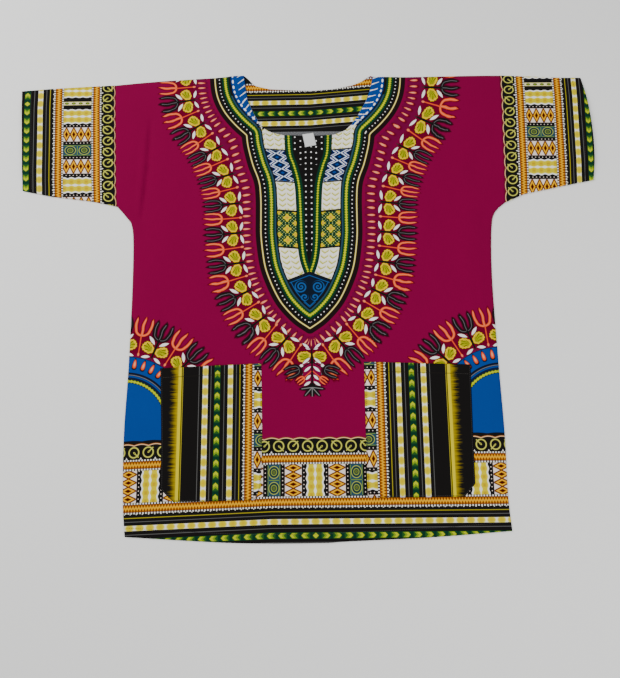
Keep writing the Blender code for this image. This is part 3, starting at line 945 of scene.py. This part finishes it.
def grid(columns, rows):
    """A flat grid of cloth, and how far across and up it each of its points is, from 0 to 1."""
    cloth = bmesh.new()
    bmesh.ops.create_grid(cloth, x_segments=columns, y_segments=rows, size=0.5)
    return cloth, *(places(cloth) + 0.5)


def places(cloth):
    """x and y of the cloth's points."""
    return np.array([vertex.co[:2] for vertex in cloth.verts]).T


def lay(cloth, x, y, z):
    """Moves the cloth's points."""
    for vertex, place in zip(cloth.verts, zip(x, y, z)):
        vertex.co = place


def cut_out(cloth, line):
    """Takes a neck out of a flat grid, and draws the points round it onto the cut line."""
    near, _, side = from_line(*places(cloth), line)
    inside = [vertex for vertex, s, d in zip(cloth.verts, side, near) if s > 0 and d < NECK_REACH]
    bmesh.ops.delete(cloth, geom=inside, context="VERTS")
    for vertex in cloth.verts:
        if not vertex.is_boundary:
            continue
        point = np.array(vertex.co[:2])
        on_line = []
        for start, end in zip(line, line[1:]):
            along = end - start
            share = min(max((point - start) @ along / (along @ along), 0.0), 1.0)
            place = start + along * share
            on_line.append((np.linalg.norm(point - place), *place))
        away, x, y = min(on_line)
        if away < CUT_REACH:
            vertex.co.x, vertex.co.y = x, y


def sewn(name, part, cloth, material, reverse=None, layer=COTTON):
    """The finished piece in place of a part, with the cloth's thickness on its wrong side."""
    bmesh.ops.translate(cloth, verts=cloth.verts, vec=to_frame)
    mesh = bpy.data.meshes.new(name)
    cloth.to_mesh(mesh)
    cloth.free()
    mesh.shade_smooth()
    piece = bpy.data.objects.new(name, mesh)
    bpy.context.scene.collection.objects.link(piece)
    for front_side in material if isinstance(material, list) else [material]:
        mesh.materials.append(front_side)
    if layer:
        wall = piece.modifiers.new("cotton", "SOLIDIFY")
        wall.thickness = layer
        wall.offset = -1.0
        wall.use_even_offset = True
        if reverse:
            wall.material_offset = len(mesh.materials)
            for _ in range(len(mesh.materials)):
                mesh.materials.append(reverse)
    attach(piece, "root")
    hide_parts(part)
    return piece


def dyed(cloth, name, values):
    """Keeps a print's own measure of each place on the cloth as an attribute of its points."""
    layer = cloth.verts.layers.float_vector.new(name)
    for vertex, value in zip(cloth.verts, zip(*values)):
        vertex[layer] = value


FRONT_CELL = 0.0032             # between points of the front's grid, and of the back's
BACK_CELL = 0.0042
HALF_WIDTH = 0.29
CAD_STACK = 2 * CAD_WALL + CAD_GAP
ROLL = 0.0060                   # how far in from a closed edge the cloth starts to turn down
CROWN = 0.0022                  # how far the upper layer rises, and how far in from the edge
CROWN_REACH = 0.0400
FACING_END = 0.1180             # half the width of the facing
FACING_LOW = 0.6315             # height of its overlocked edge
PLACKET_LOW = 0.5800            # down to here the front bridges the facing's edge
# Broad soft folds of the upper layer, then the finer wrinkles on it.
# x and y of both ends, half width, height
FOLDS = ((-0.262, 0.640, -0.262, 0.470, 0.022, -0.0012),
         (-0.215, 0.600, -0.225, 0.400, 0.035, 0.0009),
         (-0.210, 0.430, -0.165, 0.300, 0.035, 0.0008),
         (0.245, 0.600, 0.240, 0.330, 0.030, 0.0009),
         (0.300, 0.640, 0.235, 0.520, 0.028, -0.0009),
         (0.010, 0.235, 0.000, 0.090, 0.050, 0.0007),
         (-0.2560, 0.655, -0.2570, 0.570, 0.0055, -0.0026),
         (-0.2570, 0.580, -0.2640, 0.492, 0.0055, -0.0026),
         (-0.2650, 0.640, -0.2700, 0.500, 0.0080, 0.0015),
         (-0.240, 0.700, -0.232, 0.560, 0.016, 0.0005),
         (-0.268, 0.440, -0.246, 0.300, 0.012, 0.0005),
         (-0.236, 0.380, -0.205, 0.275, 0.010, -0.0004),
         (-0.100, 0.260, -0.078, 0.268, 0.005, 0.0005),
         (-0.140, 0.300, -0.055, 0.262, 0.012, -0.0004),
         (0.262, 0.470, 0.256, 0.270, 0.011, 0.0006),
         (0.222, 0.430, 0.238, 0.280, 0.013, -0.0004),
         (0.262, 0.240, 0.258, 0.060, 0.010, 0.0005),
         (0.180, 0.640, 0.215, 0.500, 0.020, 0.0004),
         (0.060, 0.300, 0.150, 0.262, 0.016, 0.0004),
         (-0.262, 0.230, -0.256, 0.040, 0.012, 0.0005),
         (-0.020, 0.060, 0.050, 0.030, 0.016, -0.0004),
         (-0.115, 0.055, -0.035, 0.020, 0.014, 0.0004),
         (-0.345, 0.680, -0.365, 0.560, 0.016, 0.0006),
         (-0.395, 0.700, -0.420, 0.600, 0.018, -0.0005),
         (-0.372, 0.545, -0.430, 0.556, 0.010, 0.0005),
         (0.345, 0.700, 0.352, 0.580, 0.014, 0.0006),
         (0.392, 0.700, 0.386, 0.575, 0.016, -0.0005),
         (0.418, 0.690, 0.414, 0.570, 0.014, 0.0006))


def closed_edges():
    """Where the upper layer comes down to the lower one: hem, sides, sleeve folds, shoulders."""
    lines = [HEM_LINE, SHOULDER_LINE]
    for side, column in (("left", 0), ("right", 2)):
        seam = [row[column:column + 2] for row in SIDE_ROWS[:-1]]
        lines.append(np.array(seam + [row[1:3] for row in SLEEVES[side][1:]]))
        lines.append(np.array([row[3:5] for row in SLEEVES[side]]))
    return lines


EDGES = closed_edges()


def from_edges(x, y):
    return np.min([from_line(x, y, line)[0] for line in EDGES], axis=0)


def above_lower_layer(x, y, fold=True):
    """How far the upper layer lies off the lower one. It comes down at closed edges if folded."""
    inside = from_edges(x, y)
    height = CROWN * smooth(inside / CROWN_REACH)
    for from_x, from_y, to_x, to_y, half_width, rise in FOLDS:
        away, along, _ = from_line(x, y, ((from_x, from_y), (to_x, to_y)))
        share = along / math.hypot(to_x - from_x, to_y - from_y)
        taper = np.sin(math.pi * (0.15 + 0.7 * share))
        height = height + rise * taper * smooth(1 - away / half_width) * smooth(inside / 0.02)
    beyond = np.hypot(np.maximum(np.abs(x) - FACING_END, 0.0), np.maximum(PLACKET_LOW - y, 0.0))
    over_facing = smooth(1 - beyond / CROWN_REACH)
    height = height * (1 - over_facing) + (CAD_WALL + CAD_GAP) * over_facing
    if fold:
        height = height - CAD_WALL * (1 - smooth(inside / ROLL))
    return height


def body_panel(neck, height_of, cell):
    """A body panel's grid with its neck cut out, at the heights height_of gives, and its print."""
    shares = body_rows(cell)
    cloth, u, v = grid(2 * round(HALF_WIDTH / cell), len(shares) - 1)
    x, y = on_body(u, v, shares, MOTIF_AXIS)
    lay(cloth, x, y, np.zeros(x.shape))
    cut_out(cloth, np.array(neck))
    x, y = places(cloth)
    lay(cloth, x, y, height_of(x, y))
    measures = motif_measures(x, y)
    for name, values in measures.items():
        dyed(cloth, name, values)
    cloth.verts.index_update()
    for face in cloth.faces:
        around = [vertex.index for vertex in face.verts]
        middle = {name: [np.mean(value[around]) for value in values]
                  for name, values in measures.items()}
        face.material_index = int(print_at(middle))
    return cloth


body_cottons = [cotton(name + "_print", print_of) for name, print_of in BODY_PRINTS]
reverse_cotton = cotton("wrong_side", lambda start: start.attribute("cut")[0].plain(MAGENTA_REVERSE))


def back_height(x, y):
    return 0.0002 + 0.0004 * (1 - smooth(from_edges(x, y) / ROLL))


back_cloth = body_panel(BACK_NECK, back_height, BACK_CELL)
for face in back_cloth.faces:
    face.normal_flip()
back = sewn("back_panel", "back", back_cloth, body_cottons, reverse_cotton)

# --- Facing -----------------------------------------------------------------------------------
# A strip cut from the outer half of the border, print side up. It is sewn along the back neck
# edge, and its lower edge is overlocked with grey thread.

FACING_TOP = 0.0024             # height of its upper side
FACING_EDGE = FACING_LOW - 0.0060
FACING_PRINT = 0.8072           # height at which the border's inner edge would lie
OVERLOCK_GREY = (0.110, 0.112, 0.118)


def facing_print(start):
    p, q, y = start.attribute("border")
    colour = border(p, q, BLACK, rings=False, blocks=False)
    return (colour.under(OVERLOCK_GREY, y.below(FACING_LOW + 0.0047))
            .under(BLACK, p.below(0.0004) * 0.6))


facing_cloth, u, v = grid(80, 34)
x = FACING_END * (2 * u - 1)
top = np.minimum(on_edge(BACK_NECK, x), on_edge(SHOULDERS, x) - CAD_GAP) - CAD_GAP
y = FACING_EDGE + (top - FACING_EDGE) * v
ripple = 0.00020 * np.sin(x * 55.0 + 1.0) * (1 - v) + 0.00012 * np.sin(x * 21.0 + y * 60.0)
lay(facing_cloth, x, y, FACING_TOP + ripple)
across = np.abs(x - 0.0008)
tilt = np.where(x > 0, 0.085, -0.012)
dyed(facing_cloth, "border", (across, FACING_PRINT + tilt * across - y, y))
facing_cotton = cotton("facing_print", facing_print)
facing = sewn("neck_facing", "back_neck_facing", facing_cloth, facing_cotton)

# --- Front ------------------------------------------------------------------------------------
# The same width of cotton, with a deep wide neck. It lies on the back and the facing, a little
# raised in the middle and turned down along the hem, side seams and shoulders.


def front_height(x, y):
    return CAD_STACK + above_lower_layer(x, y)


front_cloth = body_panel(FRONT_NECK, front_height, FRONT_CELL)
front = sewn("front_panel", "front", front_cloth, body_cottons, reverse_cotton)

# --- Neck label -------------------------------------------------------------------------------
# A short white woven tape, sewn to the facing's lower edge and turned out over the front's neck.

LABEL_TOP = np.array([-0.0040, 0.6318])
LABEL_WIDTH = 0.0180
LABEL_LENGTH = 0.0225
LABEL_HEIGHT = 0.0039
LABEL_TURN = 0.20
TAPE_WHITE = (0.66, 0.66, 0.65)
TAPE_EDGE = (0.55, 0.55, 0.545)
TAPE_THREAD = (0.45, 0.45, 0.45)


def tape_print(start):
    x, y, _ = start.attribute("tape")
    edge = abs(x).above(LABEL_WIDTH / 2 - 0.0009)
    thread = abs(y - LABEL_LENGTH).below(0.0005) & abs(x.repeated(0.0030)).below(0.0010)
    return x.plain(TAPE_WHITE).under(TAPE_EDGE, edge).under(TAPE_THREAD, thread)


label_cloth, u, v = grid(14, 22)
over, down = (u - 0.5) * LABEL_WIDTH, LABEL_LENGTH * (1 - v)
x = LABEL_TOP[0] + over * math.cos(LABEL_TURN) + down * math.sin(LABEL_TURN)
y = LABEL_TOP[1] + over * math.sin(LABEL_TURN) - down * math.cos(LABEL_TURN)
step = 0.0014 * smooth((0.6335 - y) / 0.0035)
curl = 0.00035 * np.cos(over / LABEL_WIDTH * 5.0) * smooth(down / 0.012) - 0.00012
lay(label_cloth, x, y, LABEL_HEIGHT + step + curl)
dyed(label_cloth, "tape", (over, LABEL_LENGTH - down, over))
tape = cotton("label_tape", tape_print, roughness=0.6, sheen=0.05)
label = sewn("label", "neck_label", label_cloth, tape, layer=0.0006)

# --- Pockets ----------------------------------------------------------------------------------
# Two patches of the border, turned so that it runs up them, with clipped lower corners. They are
# sewn to the front round three sides, and hemmed at the mouth.

# row, outer x, outer y, inner x, inner y
POCKETS = {"left": (("bottom", -0.2010, 0.0585, -0.0850, 0.0600),
                    ("corner", -0.2195, 0.0760, -0.0760, 0.0780),
                    ("middle", -0.2215, 0.1550, -0.0745, 0.1550),
                    ("mouth", -0.2260, 0.2520, -0.0765, 0.2580)),
           "right": (("bottom", 0.2150, 0.0620, 0.0785, 0.0620),
                     ("corner", 0.2315, 0.0800, 0.0765, 0.0800),
                     ("middle", 0.2325, 0.1600, 0.0765, 0.1600),
                     ("mouth", 0.2345, 0.2535, 0.0765, 0.2590))}
MOUTH_HEM = 0.0140
POCKET_PRINT = {"left": 0.0030, "right": 0.0080}     # from the centre line to the border's edge
POCKET_RISE = 0.0332            # from the hem down to the place where the print is mirrored
POCKET_BASE = CAD_STACK + CAD_GAP + CAD_WALL
# Painted shade: a thin dark line along the edge of each pocket's mouth hem.
POCKET_HEM_PAINTED_SHADE = (0.012, 0.010, 0.008)


def pocket_seam(rows):
    """The sewn sides of a pocket: down its outer edge and up its inner one."""
    return np.array([row[1:3] for row in rows[::-1]] + [row[3:5] for row in rows])


def pocket_print(start):
    p, q, down = start.attribute("border")
    # A thin painted shade along the mouth hem's edge, on its row of stitches.
    hem_edge_painted_shade = abs(down - MOUTH_HEM).below(0.0006, 0.0004)
    return border(p, q, BLACK, rings=False).under(POCKET_HEM_PAINTED_SHADE, hem_edge_painted_shade * 0.6)


pocket_cotton = cotton("pocket_print", pocket_print)
for side, rows in POCKETS.items():
    pocket_cloth, u, v = grid(60, 80)
    levels = [(row[2] - rows[0][2]) / (rows[-1][2] - rows[0][2]) for row in rows]
    outer_x, outer_y, inner_x, inner_y = (
        np.interp(v, levels, [row[i] for row in rows]) for i in (1, 2, 3, 4))
    x, y = outer_x + (inner_x - outer_x) * u, outer_y + (inner_y - outer_y) * u
    from_seam = from_line(x, y, pocket_seam(rows))[0]
    mouth_y = rows[-1][2] + (rows[-1][4] - rows[-1][2]) * u
    down = mouth_y - y
    rise = above_lower_layer(x, y) + 0.0003 * smooth(from_seam / 0.003)
    rise = rise + 0.0003 * (1 - smooth((down - MOUTH_HEM) / 0.0012 + 1.0))
    rise = rise + 0.0004 * np.sin(math.pi * u) * smooth(1 - down / 0.05)
    rise = rise - 0.0006 * (1 - smooth(from_seam / 0.0020)) * smooth(down / 0.004)
    lay(pocket_cloth, x, y, POCKET_BASE - CAD_GAP + rise)
    dyed(pocket_cloth, "border", (y + POCKET_RISE, np.abs(x) - POCKET_PRINT[side], down))
    if side == "right":
        bmesh.ops.reverse_faces(pocket_cloth, faces=pocket_cloth.faces)
    sewn(side + "_pocket", "pocket_" + side, pocket_cloth,
                         pocket_cotton)

# --- Sleeves ----------------------------------------------------------------------------------
# Two short tubes of the border, its scalloped edge at the seam and the arrows along the cuff.
# Each is folded flat at the top, and sewn to the dropped cap of front and back.

# height of the strap of beads in the print, and how far the print is stretched along it
SLEEVE_STRAP = {"left": (0.6885, 1.00), "right": (0.7165, 1.03)}
TUBE_WIDTH = 0.2                # about the width of a sleeve laid flat
# Painted shade: the inside of each sleeve tube is coloured nearly black, in place of the cloth's own
# wrong-side colour.
SLEEVE_INSIDE_PAINTED_SHADE = (0.05, 0.045, 0.04)


def sleeve_print(start):
    p, q, _ = start.attribute("border")
    return border(p, q, strap=True, ring_share=1.10)


def across_tube(cell=0.0033):
    """Shares of the width of a flat tube from its underside fold, close together near both folds."""
    turned = 0.5 * CAD_STACK * (1 - np.cos(np.linspace(0.0, math.pi / 2, 5)))
    straight = np.linspace(turned[-1], TUBE_WIDTH - turned[-1], math.ceil(TUBE_WIDTH / cell))
    return np.concatenate([turned[:-1], straight, (TUBE_WIDTH - turned[:-1])[::-1]]) / TUBE_WIDTH


sleeve_cotton = cotton("sleeve_print", sleeve_print)
# The sleeves' wrong side carries painted shade for the inside of the tube.
sleeve_inside_shade_cotton = cotton("sleeve_inside_painted_shade", lambda start: start.attribute("cut")[0].plain(SLEEVE_INSIDE_PAINTED_SHADE))
spots = across_tube()
all_round = np.concatenate([spots, spots[-2::-1]])
on_top = np.arange(len(all_round)) >= len(spots)
on_top[-1] = False
stations = np.linspace(0.0, 1.0, 45)
for side, rows in SLEEVES.items():
    outward = OUTWARD[side]
    reach = [0.0]
    for before, after in zip(rows, rows[1:]):
        reach.append(reach[-1] + math.hypot(after[3] - before[3], after[4] - before[4]))
    reach = np.array(reach) / reach[-1]
    low_x, low_y, high_x, high_y, bow = (
        np.interp(stations, reach, [row[i] for row in rows]) for i in (1, 2, 3, 4, 5))
    low_x, high_x = (end + outward * CAD_GAP * (1 - stations) for end in (low_x, high_x))
    sleeve_cloth, u, v = grid(len(all_round) - 1, len(stations) - 1)
    around = np.rint(u * (len(all_round) - 1)).astype(int)
    out = np.rint(v * (len(stations) - 1)).astype(int)
    share, top_layer = all_round[around], on_top[around]
    x = low_x[out] + (high_x - low_x)[out] * share + outward * 4 * bow[out] * share * (1 - share)
    y = low_y[out] + (high_y - low_y)[out] * share
    width = np.hypot(high_x - low_x, high_y - low_y)[out]
    radius = CAD_STACK / 2
    from_middle = radius - np.minimum(np.minimum(share, 1 - share) * width, radius)
    turned = np.sqrt(radius ** 2 - from_middle ** 2)
    z = np.where(top_layer, radius + turned + above_lower_layer(x, y, fold=False),
                 radius - turned + 0.0001)
    lay(sleeve_cloth, x, y, z)
    bmesh.ops.remove_doubles(sleeve_cloth, verts=sleeve_cloth.verts, dist=0.00001)
    bmesh.ops.recalc_face_normals(sleeve_cloth, faces=sleeve_cloth.faces)
    upper = [face for face in sleeve_cloth.faces if face.calc_center_median().z > 0.002]
    if sum(face.normal.z for face in upper) < 0:
        bmesh.ops.reverse_faces(sleeve_cloth, faces=sleeve_cloth.faces)
    x, y = places(sleeve_cloth)
    under, fold = np.array(rows[0][1:3]), np.array(rows[0][3:5])
    q = from_line(x, y, (2 * under - fold, 2 * fold - under))[0]
    if side == "left":
        q = q - 0.09 * np.maximum(q - 0.095, 0.0)
    strap, stretch = SLEEVE_STRAP[side]
    dyed(sleeve_cloth, "border", ((y - strap) / stretch, q, x))
    dyed(sleeve_cloth, "cut", (x, y, x))
    # The inside of the tube takes the painted shade.
    sewn(side + "_sleeve", "sleeve_" + side, sleeve_cloth,
                         sleeve_cotton, sleeve_inside_shade_cotton)

# --- Stitching --------------------------------------------------------------------------------
# Rows of dark thread a little inside the sewn and hemmed edges, one piece of thread to a stitch.

STITCH_PITCH = 0.0031
STITCH_LENGTH = 0.0024
STITCH_WIDTH = 0.0005
STITCH_RISE = 0.00028
ON_CLOTH = 0.00005              # how far a stitch's ends lie off the cloth
# How far a row of stitches lies from the neck, the hem, a cap, a pocket's edge and a cuff.
NECK_SEAM = 0.0058
HEM_SEAM = 0.0125
CAP_SEAM = 0.0022
POCKET_SEAM = 0.0018
CUFF_SEAM = 0.0150
DARK_THREAD = (0.022, 0.018, 0.020)
GREY_THREAD = (0.20, 0.20, 0.21)


def stitched(name, part, lines, height_of, thread):
    """Rows of stitches along lines, lying on the cloth at the height height_of gives."""
    rows = bmesh.new()
    for line in lines:
        line = np.array(line, float)
        runs = np.linalg.norm(np.diff(line, axis=0), axis=1)
        passed = np.concatenate([[0.0], np.cumsum(runs)])
        begin = (np.arange(int(passed[-1] / STITCH_PITCH)) + 0.5) * STITCH_PITCH
        start, end = (np.stack([np.interp(at, passed, line[:, i]) for i in (0, 1)], axis=1)
                      for at in (begin, begin + STITCH_LENGTH))
        heights = height_of(*((start + end) / 2).T)
        for (start_x, start_y), (end_x, end_y), height in zip(start, end, heights):
            run_x, run_y = end_x - start_x, end_y - start_y
            half = STITCH_WIDTH / 2 / max(math.hypot(run_x, run_y), 1e-9)
            stitch = bmesh.ops.create_grid(rows, x_segments=3, y_segments=2, size=0.5)
            for vertex in stitch["verts"]:
                share = (0.0, 0.25, 0.75, 1.0)[round((vertex.co.x + 0.5) * 3)]
                across = vertex.co.y * 2
                full = 0.0 < share < 1.0
                aside = across * half * (1.0 if full else 0.5)
                rise = STITCH_RISE if full else 0.0
                lift = rise * 0.4 - 0.00005 if abs(across) > 0.5 else rise + 0.00004
                vertex.co = (start_x + run_x * share - run_y * aside,
                             start_y + run_y * share + run_x * aside, height + lift)
    return sewn(name, part, rows, thread, layer=0)


def plain_surface(name, dye, sheen):
    """One colour with no print: thread, or the floor."""
    material = bpy.data.materials.new(name)
    material.use_nodes = True
    shader = material.node_tree.nodes["Principled BSDF"]
    shader.inputs["Base Color"].default_value = (*dye, 1.0)
    shader.inputs["Roughness"].default_value = 0.7
    shader.inputs["Sheen Weight"].default_value = sheen
    return material


def inset(line, distance):
    """The line moved to its left, smoothed a little at corners."""
    line = np.array(line, float)
    out = []
    for i, point in enumerate(line):
        before, after = line[max(i - 1, 0)], line[min(i + 1, len(line) - 1)]
        run = (after - before) / np.linalg.norm(after - before)
        out.append(point + np.array([-run[1], run[0]]) * distance)
    return np.array(out)


dark_thread = plain_surface("dark_thread", DARK_THREAD, 0.1)
grey_thread = plain_surface("grey_thread", GREY_THREAD, 0.1)


def on_front(x, y):
    return front_height(x, y) + ON_CLOTH


def on_back(x, y):
    return np.full(x.shape, FACING_TOP + 0.0002)


def on_pocket(x, y):
    return POCKET_BASE + above_lower_layer(x, y)


def on_sleeve(x, y):
    return CAD_STACK + above_lower_layer(x, y, fold=False) + ON_CLOTH


neck_line = softened(FRONT_NECK)
neck_line = neck_line[neck_line[:, 1] < 0.7325]
front_rows = [inset(neck_line, -NECK_SEAM), inset(HEM_LINE, HEM_SEAM)]
for column, turn in ((0, 1), (2, -1)):
    cap = np.linspace(SIDE_ROWS[-2][column:column + 2], SIDE_ROWS[-1][column:column + 2], 30)
    front_rows.append(inset(cap, CAP_SEAM * turn)[2:-2])
front_stitching = stitched("front_stitching", "front", front_rows, on_front, dark_thread)
for side, rows in POCKETS.items():
    turn = -OUTWARD[side]
    seam = inset(pocket_seam(rows), POCKET_SEAM * turn)
    mouth = np.array([rows[-1][1:3], rows[-1][3:5]])
    mouth = mouth + np.array([[0.003 * turn, -MOUTH_HEM], [-0.003 * turn, -MOUTH_HEM]])
    thread = stitched(side + "_pocket_stitching", "pocket_" + side, [seam, mouth], on_pocket,
                      dark_thread)
for side, rows in SLEEVES.items():
    under, fold = np.array([row[1:3] for row in rows]), np.array([row[3:5] for row in rows])
    near_cuff = []
    for share in np.linspace(0.02, 0.98, 30):
        line = under + (fold - under) * share
        line[:, 0] += np.array([row[5] for row in rows]) * 4 * share * (1 - share) * OUTWARD[side]
        run = line[-1] - line[-2]
        near_cuff.append(line[-1] - run / np.linalg.norm(run) * CUFF_SEAM)
    thread = stitched(side + "_sleeve_stitching", "sleeve_" + side, [near_cuff], on_sleeve,
                      dark_thread)

# A close zigzag of grey thread overlocks the facing's lower edge.
zigzag = [(x, FACING_LOW + (-0.0022 if i % 2 else 0.0046))
          for i, x in enumerate(np.arange(-FACING_END + 0.002, FACING_END - 0.002, 0.0013))]
overlocking = stitched("facing_overlocking", "back_neck_facing", [zigzag], on_back, grey_thread)

# --- Floor, light and camera ------------------------------------------------------------------
# A plain pale floor, lit softly from above and a little from the left.

FLOOR_SIZE = 6.0
FLOOR_COLOUR = (0.90, 0.90, 0.885)
DAYLIGHT = 0.38
CAMERA_PLACE = (-0.00499, 0.07166, 1.0303)              # in the shirt's own metres
CAMERA_TURN = (12.275, 0.039, -0.528)                   # degrees about x, y and z

floor_mesh = bpy.data.meshes.new("floor")
floor_edit = bmesh.new()
bmesh.ops.create_grid(floor_edit, x_segments=1, y_segments=1, size=FLOOR_SIZE)
floor_edit.to_mesh(floor_mesh)
floor_edit.free()
floor = bpy.data.objects.new("floor", floor_mesh)
floor_mesh.materials.append(plain_surface("pale_floor", FLOOR_COLOUR, 0.0))
bpy.context.scene.collection.objects.link(floor)


def softbox(name, place, size, watts):
    light = bpy.data.lights.new(name, "AREA")
    light.shape = "RECTANGLE"
    light.size, light.size_y = size
    light.energy = watts
    lamp = bpy.data.objects.new(name, light)
    lamp.location = place
    lamp.rotation_euler = (lamp.location * -1).to_track_quat("-Z", "Y").to_euler()
    bpy.context.scene.collection.objects.link(lamp)


softbox("window", (-1.3, 0.8, 1.45), (1.2, 1.6), 41.0)
softbox("room", (1.05, -0.7, 1.5), (1.6, 1.6), 25.0)

world = bpy.data.worlds.new("room_light")
world.use_nodes = True
world.node_tree.nodes["Background"].inputs["Color"].default_value = (1.0, 1.0, 1.0, 1.0)
world.node_tree.nodes["Background"].inputs["Strength"].default_value = DAYLIGHT
bpy.context.scene.world = world

lens = bpy.data.cameras.new("camera")
lens.sensor_fit = "HORIZONTAL"
lens.sensor_width = 36.0
lens.lens = 40.645
camera = bpy.data.objects.new("camera", lens)
camera.location = to_frame + CAMERA_PLACE
camera.rotation_euler = [math.radians(turn) for turn in CAMERA_TURN]
bpy.context.scene.collection.objects.link(camera)
bpy.context.scene.camera = camera
